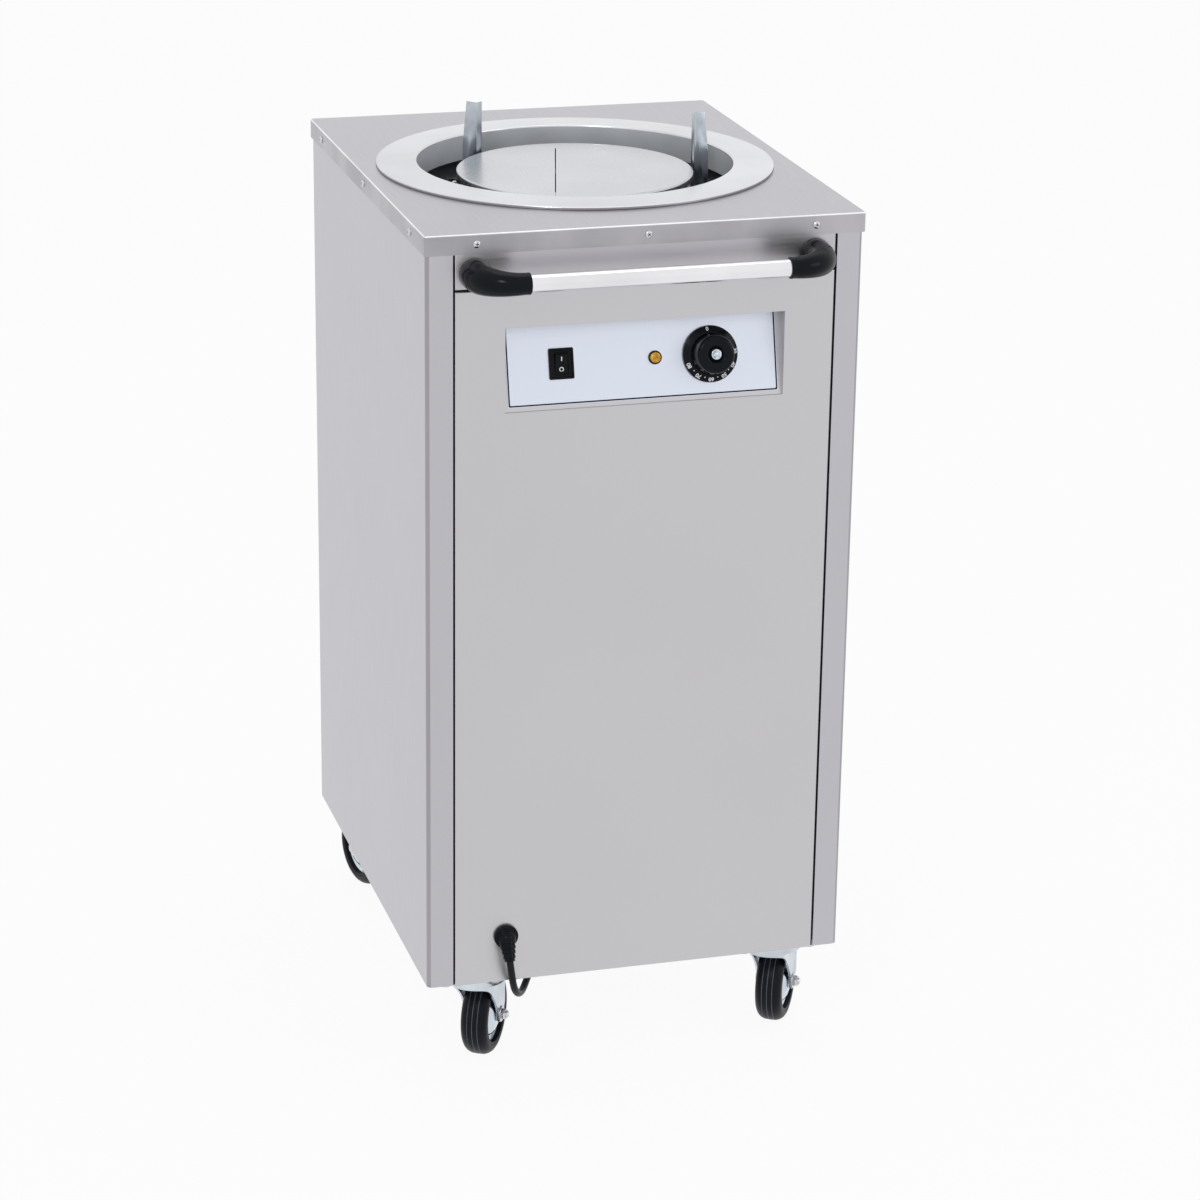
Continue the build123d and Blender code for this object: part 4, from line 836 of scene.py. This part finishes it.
def make_knob():
    """The thermostat knob: a bevelled skirt with its scale, a round body and a metal cap."""
    points = [
        (0, 1.0),
        (28.4, 1.0),
        (28.4, 2.7),
        SKIRT_INNER,
        (21.1, 5.2),
        (18.8, 24.9),
        (9.4, 24.6),
        (6.0, 20.6),
        (0, 20.6),
    ]
    profile = rounded(points, (0.4, 0.5, 0.3, 0.5, 5.0, 1.6, 0.4), steps=8)
    mesh = lathe("knob_body", profile, 128)
    place = on_plate(knob_x)
    finish_piece("knob_turned", mesh, "black", "knob", place, body="knob")
    cap_points = [(0, 20.7), (5.4, 20.7), (5.2, 23.4), (4.2, 23.6), (1.9, 21.6), (0, 22.6)]
    cap = rounded(cap_points, (0.1, 0.4, 0.4, 0.4))
    cap_mesh = lathe("cap", cap, 64)
    finish_piece("knob_cap_dished", cap_mesh, "hub", "knob_cap", place, body="knob")
    out_slope = (Vector(SKIRT_OUTER) - Vector(SKIRT_INNER)).normalized()
    middle = (Vector(SKIRT_OUTER) + Vector(SKIRT_INNER)) / 2
    parts = []

    def on_skirt(angle, slide=0.0):
        radial = Vector((*polar(1, angle), 0))
        upward = radial * out_slope.x + Vector((0, 0, out_slope.y))
        normal = Vector((0, 0, out_slope.x)) - radial * out_slope.y
        across = upward.cross(normal)
        level = Vector((0, 0, middle.y + slide * out_slope.y))
        point = radial * (middle.x + slide * out_slope.x) + level
        return placed(point * MM, across, upward, normal)

    for angle, text in KNOB_MARKS:
        numeral = make_text(text, NUMERAL_SIZE * MM, NUMERAL_SHEET * MM)
        parts.append((numeral, on_skirt(radians(angle))))
    dot = lathe("dot", [(0, -0.06), (0.6, -0.06), (0.6, 0.07), (0, 0.07)], 20)
    for angle in KNOB_DOTS:
        parts.append((dot, on_skirt(radians(angle), DOT_SHIFT)))
    marks = joined("knob_scale", parts)
    finish_piece("knob_scale", marks, "mark", place=place, body="knob")


make_plate_edge_shade()
make_switch()
make_lamp()
make_knob()

# ---------------------------------------------------------------- handle

bar_y, bar_z = box_mm("handle_bar")[2].yz
elbow_low, elbow_high, _ = box_mm("handle_elbow_left")
ELBOW_BASE = 16.5
ELBOW_NECK = 10.5
ELBOW_END = 10.8  # a raised band round the neck
ELBOW_BEND = 34.0
elbow_x = -elbow_low.x - ELBOW_BASE
elbow_back = elbow_high.y
elbow_end_x = -elbow_high.x


def make_elbow(side, label):
    """A moulded handle end: a round foot on the panel that bends and narrows to the bar."""
    bend_y = bar_y + ELBOW_BEND
    path = [(elbow_x, elbow_back), (elbow_x, elbow_back - 2.0), (elbow_x, elbow_back - 5.0)]
    for step in range(25):
        turn = pi / 2 * step / 24
        path.append((elbow_x - ELBOW_BEND * (1 - cos(turn)), bend_y - ELBOW_BEND * sin(turn)))
    path += [(elbow_end_x + before_end, bar_y) for before_end in (3.0, 2.4, 0.6, 0)]
    lengths = [0.0]
    for before, after in zip(path, path[1:]):
        lengths.append(lengths[-1] + (Vector(after) - Vector(before)).length)
    total = lengths[-1]
    radii = []
    for length in lengths:
        share = length / total
        ease = share * share * (3 - 2 * share)
        radii.append(ELBOW_BASE + (ELBOW_NECK - ELBOW_BASE) * (0.35 * share + 0.65 * ease))
    radii[0] = ELBOW_BASE - 1.0
    radii[-3:] = [ELBOW_END, ELBOW_END, ELBOW_END - 0.5]
    points = [at(side * x, y, bar_z) for x, y in path]
    mesh = swept(f"elbow_{label}", points, [radius * MM for radius in radii], 48)
    replaced = f"handle_elbow_{label}"
    finish_piece(f"elbow_moulded_{label}", mesh, "black", replaced)


make_elbow(-1, "left")
make_elbow(1, "right")

# ---------------------------------------------------------------- cable gland

gland_x = box_mm("gland_nut")[2].x
BODY_HALF_Y = 268.3
GLAND_Z = 163.2
NOSE_OUT = 5.5
NOSE_SINK = 1.0
NOSE_BALL = 9.35
NOSE_REACH = 16
DROOP = radians(58)
nose_direction = Vector((0, -cos(DROOP), -sin(DROOP)))
nose_start = Vector((gland_x, -BODY_HALF_Y - NOSE_OUT, GLAND_Z - NOSE_SINK))


def make_gland():
    """The cable gland: a round flange, a ball and a ribbed nose that droops to the lead."""
    flange = [(0, 0), (12.8, 0), (12.8, 4.0), (10.2, 4.0), (9.6, 6.5), (0, 6.5)]
    flange = rounded(flange, (0.2, 1.4, 0.8, 1.2))
    flange_mesh = lathe("flange", flange, 72)
    flange_place = axis_place(at(gland_x, -BODY_HALF_Y, GLAND_Z), (0, -1, 0))
    thread = lathe("thread", [(0, -13.8), (7.6, -13.8), (7.9, -13.4), (7.9, 0.2), (0, 0.2)], 48)
    arc = [pi * step / 24 for step in range(25)]
    ball = lathe("ball", [(NOSE_BALL * sin(turn), NOSE_BALL * cos(turn)) for turn in arc], 48)
    points = [(0, 0), (8.7, 0)]
    for ring in range(4):
        level = 3.0 + 5.0 * ring
        radius = 8.7 - 0.75 * ring
        for inset, lift in ((0, 2.6), (1.0, 3.0), (1.0, 4.4), (0.6, 4.8)):
            points.append((radius - inset, level + lift))
    points += [(5.4, 23.6), (4.6, 24.0), (3.75, 24.0), (3.75, 16.2), (0, 16.2)]
    nose = lathe("nose", points, 48)
    nose_place = axis_place(at(*nose_start), nose_direction)
    parts = [(flange_mesh, flange_place), (thread, flange_place)]
    parts += [(ball, nose_place), (nose, nose_place)]
    whole = joined("gland_moulded", parts)
    finish_piece("gland_moulded", whole, "black", "cable_gland")


make_gland()


CLIPPED_Z = 104.0  # the lead's level where it runs under the body
CLIPPED = ((-90, -198), (-62, -128), (-40, -60), (-22, 8))


def make_lead_clips():
    """Three saddle clips that hold the lead below the body, each on two rivets."""
    rise, strap, half_foot, half_width, rivet_out = 8.8, 5.5, 13.0, 4.5, 9.3
    foot = rise - 1.6
    outline = [(-half_foot, rise), (-half_foot, foot), (-strap, foot)]
    for step in range(17):
        turn = pi * (1 + step / 16)
        outline.append(polar(strap, turn))
    outline += [(strap, foot), (half_foot, foot), (half_foot, rise)]
    outline = [(x * MM, y * MM) for x, y in outline]
    strip = prism("clip", outline, -half_width * MM, half_width * MM)
    strip = bevelled(strip, 0.4 * MM, segments=2, angle=50)
    rivet = lathe("rivet", [(0, 0), (2.4, 0), (2.4, 0.5), (1.6, 1.2), (0, 1.5)], 24)
    parts = []
    for start, end in zip(CLIPPED, CLIPPED[1:]):
        start, end = Vector((*start, CLIPPED_Z)), Vector((*end, CLIPPED_Z))
        along = (end - start).normalized()
        across = Vector((-along.y, along.x, 0))
        middle = (start + end) / 2
        parts.append((strip, placed(at(*middle), across, Vector((0, 0, 1)), along)))
        for side in (-1, 1):
            spot = middle + across * rivet_out * side + Vector((0, 0, foot))
            parts.append((rivet, axis_place(at(*spot), (0, 0, -1))))
    whole = joined("lead_clips", parts)
    finish_piece("lead_clips", whole, "black", "cable_gland")


make_lead_clips()

# ---------------------------------------------------------------- casters

FORK_HALF = 19.0
HUB_HALF = 15.5
TYRE_RADIUS = 45.0
TYRE_BORE = 31.05
LINE_SPACING = 5.6


def make_wheel(label):
    """A tyre with three light lines round its tread, and a polished hub with a domed cap."""
    joint = joints[f"{label}_roll"]
    place = axis_place(Vector(joint["pos_m"]), Vector(joint["axis"]), (0, 0, 1))
    body = f"{label}_wheel"
    half = [(TYRE_RADIUS, 0), (44.9, 5.0), (44.4, 7.4), (43.2, 10.0), (41.2, 12.4), (38.6, 14.0)]
    half += [(36.4, 14.5), (34.4, 14.4), (33.8, 13.8), (33.2, 14.3), (31.9, 14.2), (31.2, 13.4)]
    half.append((TYRE_BORE, 11.6))
    profile = [(radius, -level) for radius, level in reversed(half)]
    profile += half[1:] + [(TYRE_BORE, -11.6)]
    tyre = lathe("tyre", profile, 128)
    replaced = f"caster_tyre_{label}"
    finish_piece(f"tyre_ribbed_{label}", tyre, "tyre", replaced, place, body=body)
    lines = []
    for level in (-LINE_SPACING, 0.0, LINE_SPACING):
        radius = TYRE_RADIUS if level == 0 else TYRE_RADIUS - 0.25
        section = ((-0.3, -0.45), (0.08, -0.3), (0.08, 0.3), (-0.3, 0.45), (-0.3, -0.45))
        points = [(radius + out, level + lift) for out, lift in section]
        lines.append((lathe("line", points, 128), UNMOVED))
    stripes = joined("lines", lines)
    finish_piece(f"tyre_lines_{label}", stripes, "stripe", place=place, body=body)
    dome = [(4.1, HUB_HALF), (9.5, HUB_HALF), (12.0, 15.2), (17.0, 14.0), (21.5, 11.6), (25.0, 8.4)]
    dome += [(26.6, 6.8), (27.6, 6.6), (28.6, 7.2), (30.0, 9.2), (30.6, 9.4), (31.0, 9.0)]
    hub_profile = dome + [(radius, -level) for radius, level in reversed(dome)] + [dome[0]]
    hub = lathe("hub", hub_profile, 96)
    finish_piece(
        f"hub_domed_{label}", hub, "hub", f"caster_hub_{label}", place, body=body
    )


CROWN_REACH = 31.0
CROWN_TOP = 103.4
CROWN_CORNER = 17.0
LEG_BACK = 42.0
LEG_FLARE = 1.6
FLARE_RUN = 6.0
AXLE_TRAIL = 33.0
AXLE_Z = 45.0
LEG_END = 9.0
FORK_SHEET = 2.2
FORK_EDGE = 2.6
RACE_HOLE = 27.6
HOLE_SQUASH = 0.68  # the crown's hole is shorter across the fork
CROWN_SKIRT = 4.6
ARCH_POWER = 1.45


def fork_edge(t):
    """The height of the fork's lower edge: an arch over the wheel that ends round the axle."""
    front = AXLE_TRAIL - LEG_END
    if t < front:
        reach = min(1.0, (t + CROWN_REACH) / (front + CROWN_REACH))
        rise = (1 - reach**ARCH_POWER) ** (1 / ARCH_POWER)
        return AXLE_Z + (CROWN_TOP - CROWN_SKIRT - AXLE_Z) * rise
    if t < AXLE_TRAIL:
        return AXLE_Z - sqrt(max(0.0, LEG_END**2 - (t - AXLE_TRAIL) ** 2))
    return AXLE_Z - LEG_END + 20.0 * ((t - AXLE_TRAIL) / LEG_END) ** 2


def fork_outline():
    """The fork's wall seen from above, from the back of one leg round the crown to the other."""
    stations = [LEG_BACK, 40.5, 38.8, 37, 35, 34, 33, 32, 30, 28, 26.5]
    stations += [25.3, 24.5, 24, 23.3, 22, 20]
    stations += [17.5, *range(15, -13, -3)]
    flare_start = LEG_BACK - FLARE_RUN
    side = [(t, FORK_HALF + LEG_FLARE * max(0.0, t - flare_start) / FLARE_RUN) for t in stations]
    for step in range(9):
        turn = radians(90 * step / 8)
        t = -CROWN_REACH + CROWN_CORNER * (1 - sin(turn))
        side.append((t, FORK_HALF - CROWN_CORNER * (1 - cos(turn))))
    return side + [(t, -s) for t, s in reversed(side)]


def make_fork_mesh():
    """The pressed fork: a flat crown round the ball race whose edges run down into two legs."""
    outline = [Vector(point) for point in fork_outline()]
    inward = []
    for index, point in enumerate(outline):
        before, after = outline[max(index - 1, 0)], outline[min(index + 1, len(outline) - 1)]
        along = (after - before).normalized()
        inward.append(Vector((-along.y, along.x)))
    rows = 9
    form = bmesh.new()
    grid = []
    for point, normal in zip(outline, inward):
        low = fork_edge(point.x)
        high = CROWN_TOP - FORK_EDGE
        column = [(point, low + (high - low) * row / rows) for row in range(rows + 1)]
        for step in range(1, 5):
            turn = radians(90 * step / 4)
            moved = point + normal * FORK_EDGE * (1 - cos(turn))
            column.append((moved, high + FORK_EDGE * sin(turn)))
        grid.append([form.verts.new((spot.x * MM, spot.y * MM, z * MM)) for spot, z in column])
    for left, right in zip(grid, grid[1:]):
        for row in range(len(left) - 1):
            form.faces.new((left[row], left[row + 1], right[row + 1], right[row]))
    rim = [column[-1] for column in grid]
    first, last = rim[0].co.copy(), rim[-1].co.copy()
    rim += [form.verts.new(last.lerp(first, step / 6)) for step in range(1, 6)]
    hole = []
    for corner in rim:
        turn = atan2(corner.co.y, corner.co.x)
        x, y = RACE_HOLE * MM * cos(turn), RACE_HOLE * MM * sin(turn) * HOLE_SQUASH
        hole.append(form.verts.new((x, y, CROWN_TOP * MM)))
    add_wall(form, rim, hole)
    bmesh.ops.recalc_face_normals(form, faces=form.faces)
    form.faces.ensure_lookup_table()
    if form.faces[-1].normal.z < 0:
        bmesh.ops.reverse_faces(form, faces=form.faces)
    bmesh.ops.solidify(form, geom=list(form.faces), thickness=FORK_SHEET * MM)
    return made_mesh(form, "fork", normals=False)


NUT_REACH = 6.4


def make_fork(label):
    """The fork with the crown that holds its ball race, and the axle's washers, head and nut."""
    body = f"{label}_caster"
    swivel = Vector(joints[f"{label}_swivel"]["pos_m"])
    roll = Vector(joints[f"{label}_roll"]["pos_m"])
    trail = Vector((roll.x - swivel.x, roll.y - swivel.y, 0)).normalized()
    side = Vector((-trail.y, trail.x, 0))
    place = placed((swivel.x, swivel.y, 0), trail, side, Vector((0, 0, 1)))
    crown_points = [(27.3, 101.2), (27.3, 109.9), (32.0, 109.9), (33.0, 106), (33.6, 102.4)]
    crown_points.append(crown_points[0])
    crown = lathe("crown", rounded(crown_points, (0.3, 2.5, 1.0, 0.2)), 72)
    whole = joined("fork", [(make_fork_mesh(), place), (crown, place)])
    finish_piece(
        f"fork_pressed_{label}", whole, "zinc", f"caster_fork_{label}", body=body
    )
    washer = lathe("washer", [(0, 0), (8.3, 0), (8.5, 0.3), (8.5, 1.0), (8.2, 1.3), (0, 1.3)], 40)
    hexagon = [polar(NUT_REACH * MM, corner * pi / 3) for corner in range(6)]
    nut = bevelled(prism("nut", hexagon, 1.3 * MM, 5.6 * MM), 0.5 * MM, segments=2)
    stub = lathe("stub", [(0, 5), (3.9, 5), (3.9, 7.2), (3.4, 7.8), (0, 7.8)], 32)
    rod = lathe("rod", [(0, -FORK_HALF), (3.9, -FORK_HALF), (3.9, 0), (0, 0)], 32)
    parts = []
    head_points = [(0, 0), (6.6, 0), (6.6, 1.0), (4.4, 2.6), (0, 3.0)]
    head = lathe("head", rounded(head_points, (0.1, 0.4, 2.0), 4), 32)
    for outward, ends in ((side, [head]), (-side, [washer, nut, stub])):
        spot = axis_place(roll + outward * FORK_HALF * MM, outward, (0, 0, 1))
        parts += [(end, spot) for end in [rod] + ends]
    axle = joined("axle", parts)
    replaced = f"caster_axle_{label}"
    finish_piece(f"axle_bolt_{label}", axle, "screw", replaced, body=body)


for caster in CASTERS:
    make_wheel(caster)
    make_fork(caster)

# ---------------------------------------------------------------- screws

SCREW_HEAD = 3.9
SCREW_HEIGHT = 2.2
SKIRT_SCREW_DROP = 10
FRONT_SCREW_INSET = 52
SIDE_SCREW_INSET = 61
REAR_SCREW_X = 209.8
REAR_SCREW_LEVELS = (153, 510.75, 848.5)
DECK_SCREW_REACH = 161
DECK_SCREW_ANGLES = (radians(128), radians(3))
DECK_TOP = 865.5


def screw_seats():
    """Where each pan-head screw sits, as (point, outward direction)."""
    side_x, side_y, cover_top = box_mm("top_cover")[1]
    skirt_z = cover_top - SKIRT_SCREW_DROP
    front_x, side_run = side_x - FRONT_SCREW_INSET, side_y - SIDE_SCREW_INSET
    seats = []
    for side in (-1, 1):
        for x in (-front_x, 0, front_x):
            seats.append((at(x, side * side_y, skirt_z), (0, side, 0)))
        for y in (-side_run, 0, side_run):
            seats.append((at(side * side_x, y, skirt_z), (side, 0, 0)))
        for z in REAR_SCREW_LEVELS:
            seats.append((at(side * REAR_SCREW_X, BODY_HALF_Y, z), (0, 1, 0)))
    for angle in DECK_SCREW_ANGLES:
        seats.append((at(*polar(DECK_SCREW_REACH, angle), DECK_TOP), (0, 0, 1)))
    return seats


def make_screws():
    """Pan-head screws, each with a black cross as painted shade for its recess."""
    head = [(0, 0), (SCREW_HEAD, 0), (SCREW_HEAD, 1.0), (2.6, SCREW_HEIGHT), (0, SCREW_HEIGHT)]
    head_mesh = lathe("head", rounded(head, (0.1, 0.8, 1.6)), 32)
    bars = []
    for wide, high in ((3.6, 0.7), (0.7, 3.6)):
        bar = stacked("slot", [(wide, high, 0.2, 1.6), (wide, high, 0.2, SCREW_HEIGHT + 0.04)])
        bars.append((bar, UNMOVED))
    cross = joined("cross", bars)
    heads, cross_shades = [], []
    for index, (point, outward) in enumerate(screw_seats()):
        turn = Matrix.Rotation(0.7 * index, 4, "Z")
        place = axis_place(point, outward, (0, 0, 1) if outward[2] == 0 else (1, 0, 0)) @ turn
        heads.append((head_mesh, place))
        cross_shades.append((cross, place))
    whole = joined("heads", heads)
    finish_piece("screw_heads", whole, "screw", "panel_screws")
    # painted shade: the black crosses stand for the dark inside each head's cross recess
    finish_piece("screw_cross_shade", joined("cross_shades", cross_shades), "black")


make_screws()

# ---------------------------------------------------------------- springs

SPRING_LOW = 588.2
SPRING_HIGH = 859.5
SPRING_RADIUS = 6.2
SPRING_PITCH = 3.0
SPRING_WIRE = 0.8
SPRING_CIRCLE = 160
SPRING_ANGLES = (12, -12, 168, 192)
TURN_STEPS = 10
HOOK_LAP = 1.5
HOOK_DROP = 6.5
PIN_LEVEL = 868.8


def make_springs():
    """Four coiled springs from the carrier's lower ring up to the pins on the deck."""
    parts = []
    steps = int((SPRING_HIGH - SPRING_LOW) / SPRING_PITCH * TURN_STEPS)
    hooks = ((SPRING_LOW - HOOK_DROP, SPRING_LOW + HOOK_LAP), (SPRING_HIGH - HOOK_LAP, PIN_LEVEL))
    for angle in SPRING_ANGLES:
        middle = Vector((*polar(SPRING_CIRCLE, radians(angle)), 0))
        points = []
        for step in range(steps + 1):
            share = step / steps
            offset = Vector((*polar(SPRING_RADIUS, 2 * pi * step / TURN_STEPS), 0))
            z = SPRING_LOW + SPRING_WIRE + (SPRING_HIGH - SPRING_LOW - 2 * SPRING_WIRE) * share
            points.append(at(*(middle + offset).xy, z))
        mesh = swept("coil", points, [SPRING_WIRE * MM] * len(points), 6)
        parts.append((mesh, UNMOVED))
        for low, high in hooks:
            hook = [at(middle.x, middle.y, low), at(middle.x, middle.y, high)]
            parts.append((swept("hook", hook, [SPRING_WIRE * MM] * 2, 8), UNMOVED))
    mesh = joined("springs", parts)
    add_looks(mesh, "spring")
    springs = add_object("springs_coiled", mesh)
    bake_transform(springs)
    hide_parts("extension_springs")


make_springs()

# ---------------------------------------------------------------- mains lead

cord_radius = 3.7
STRAIGHT = 16  # the lead's straight run out of the nose
PLUG_LEVEL = 18
cord_exit = nose_start + nose_direction * NOSE_REACH
lead = [
    cord_exit,
    cord_exit + nose_direction * STRAIGHT,
    Vector((-136, -286.7, 109.3)),
    Vector((-124, -266.8, 92.6)),
    Vector((-108, -236, 97)),
    *[Vector((x, y, CLIPPED_Z)) for x, y in CLIPPED],
    Vector((-18, 62, 78)),
    Vector((-13, 128, cord_radius)),
    Vector((-12, 190, cord_radius)),
    Vector((-15, 255, cord_radius)),
    Vector((-17, 322, cord_radius)),
]
coil_low, coil_high, coil_middle = box_mm("cord_coil")
coil_half_band = 7.77  # half the width of the ring that stands for the coil
coil_centre = Vector((coil_middle.x, coil_middle.y, 0))
coil_radius = (coil_high.y - coil_low.y) / 2 - coil_half_band
strand = 2 * cord_radius + 0.1
outer, inner = coil_radius + strand / 2, coil_radius - strand / 2
low_layer, high_layer = cord_radius, cord_radius + strand
slots = [(outer, low_layer), (inner, low_layer), (inner, high_layer), (outer, high_layer)]
slots.append((outer + strand, high_layer))
TURN_POINTS = 16
route = list(lead)
for start_slot, next_slot in zip(slots, slots[1:]):
    for step in range(TURN_POINTS):
        share = step / TURN_POINTS
        shift = max(0.0, (share - 0.8) / 0.2)
        shift = shift * shift * (3 - 2 * shift)
        radius = start_slot[0] + (next_slot[0] - start_slot[0]) * shift
        height = start_slot[1] + (next_slot[1] - start_slot[1]) * shift
        route.append(coil_centre + Vector((*polar(radius, 2 * pi * share), height)))
_, plug_high, plug_middle = box_mm("mains_plug")
plug_place = Vector((plug_high.x, plug_middle.y, PLUG_LEVEL))
tail_radius = outer + strand
for angle, height in ((0, 11.5), (22, 12.5), (45, 14.5), (68, 16.8)):
    route.append(coil_centre + Vector((*polar(tail_radius, radians(angle)), height)))
route += [plug_place + Vector((17, -0.5, 0)), plug_place + Vector((3, 0, 0))]


def make_plug():
    """The moulded plug at the lead's far end: a ribbed tail, a round grip and two pins."""
    tail = [(0, 0), (4.4, 0), (4.8, 0.8)]
    for rib in range(3):
        level = 1.6 + 2.6 * rib
        wide = 5.2 + 0.7 * rib
        for out, lift in ((0, 0), (0.5, 0.5), (0.5, 1.4), (-0.1, 1.8)):
            tail.append((wide + out, level + lift))
    grip = [(9.0, 10.5), (15.5, 14.5), (17.9, 17.5), (17.9, 24), (16.6, 27), (16.6, 31)]
    grip += [(17.9, 33.5), (17.9, 37), (17.2, 37.9), (0, 37.9)]
    profile = rounded(tail + grip, [0.0] * len(tail) + [4, 4, 3, 2, 2, 2, 2, 0.8, 0.4], 4)
    pin_points = [(0, 0), (2.4, 0), (2.4, 17.4), (1.6, 18.8), (0, 18.9)]
    pin = lathe("pin", rounded(pin_points, (0.1, 1.0, 0.6), 3), 28)
    back = Vector((-1, 0, 0))
    origin = at(*plug_place)
    whole = joined("plug_body", [(lathe("plug", profile, 72), axis_place(origin, back, (0, 1, 0)))])
    body = finish_piece("plug_moulded", whole, "cord", "mains_plug")
    face = origin + back * 37.8 * MM
    spots = [face + Vector((0, offset * MM, 0)) for offset in (-9.5, 9.5)]
    pins = joined("plug_pins", [(pin, axis_place(spot, back, (0, 1, 0))) for spot in spots])
    return [body, finish_piece("plug_pins", pins, "screw")]


cord_curve = bpy.data.curves.new("mains_lead", "CURVE")
cord_curve.dimensions = "3D"
cord_curve.bevel_depth = cord_radius * MM
cord_curve.bevel_resolution = 6
cord_curve.use_fill_caps = True
cord_curve.resolution_u = 12
spline = cord_curve.splines.new("NURBS")
spline.points.add(len(route) - 1)
for point, place in zip(spline.points, route):
    point.co = (*at(place.x, place.y, place.z), 1)
spline.order_u = 3
spline.use_endpoint_u = True
add_looks(cord_curve, "cord")
mains_lead = add_object("mains_lead", cord_curve)
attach(mains_lead, "cabinet")
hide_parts("mains_cord", "cord_coil")

make_plug()
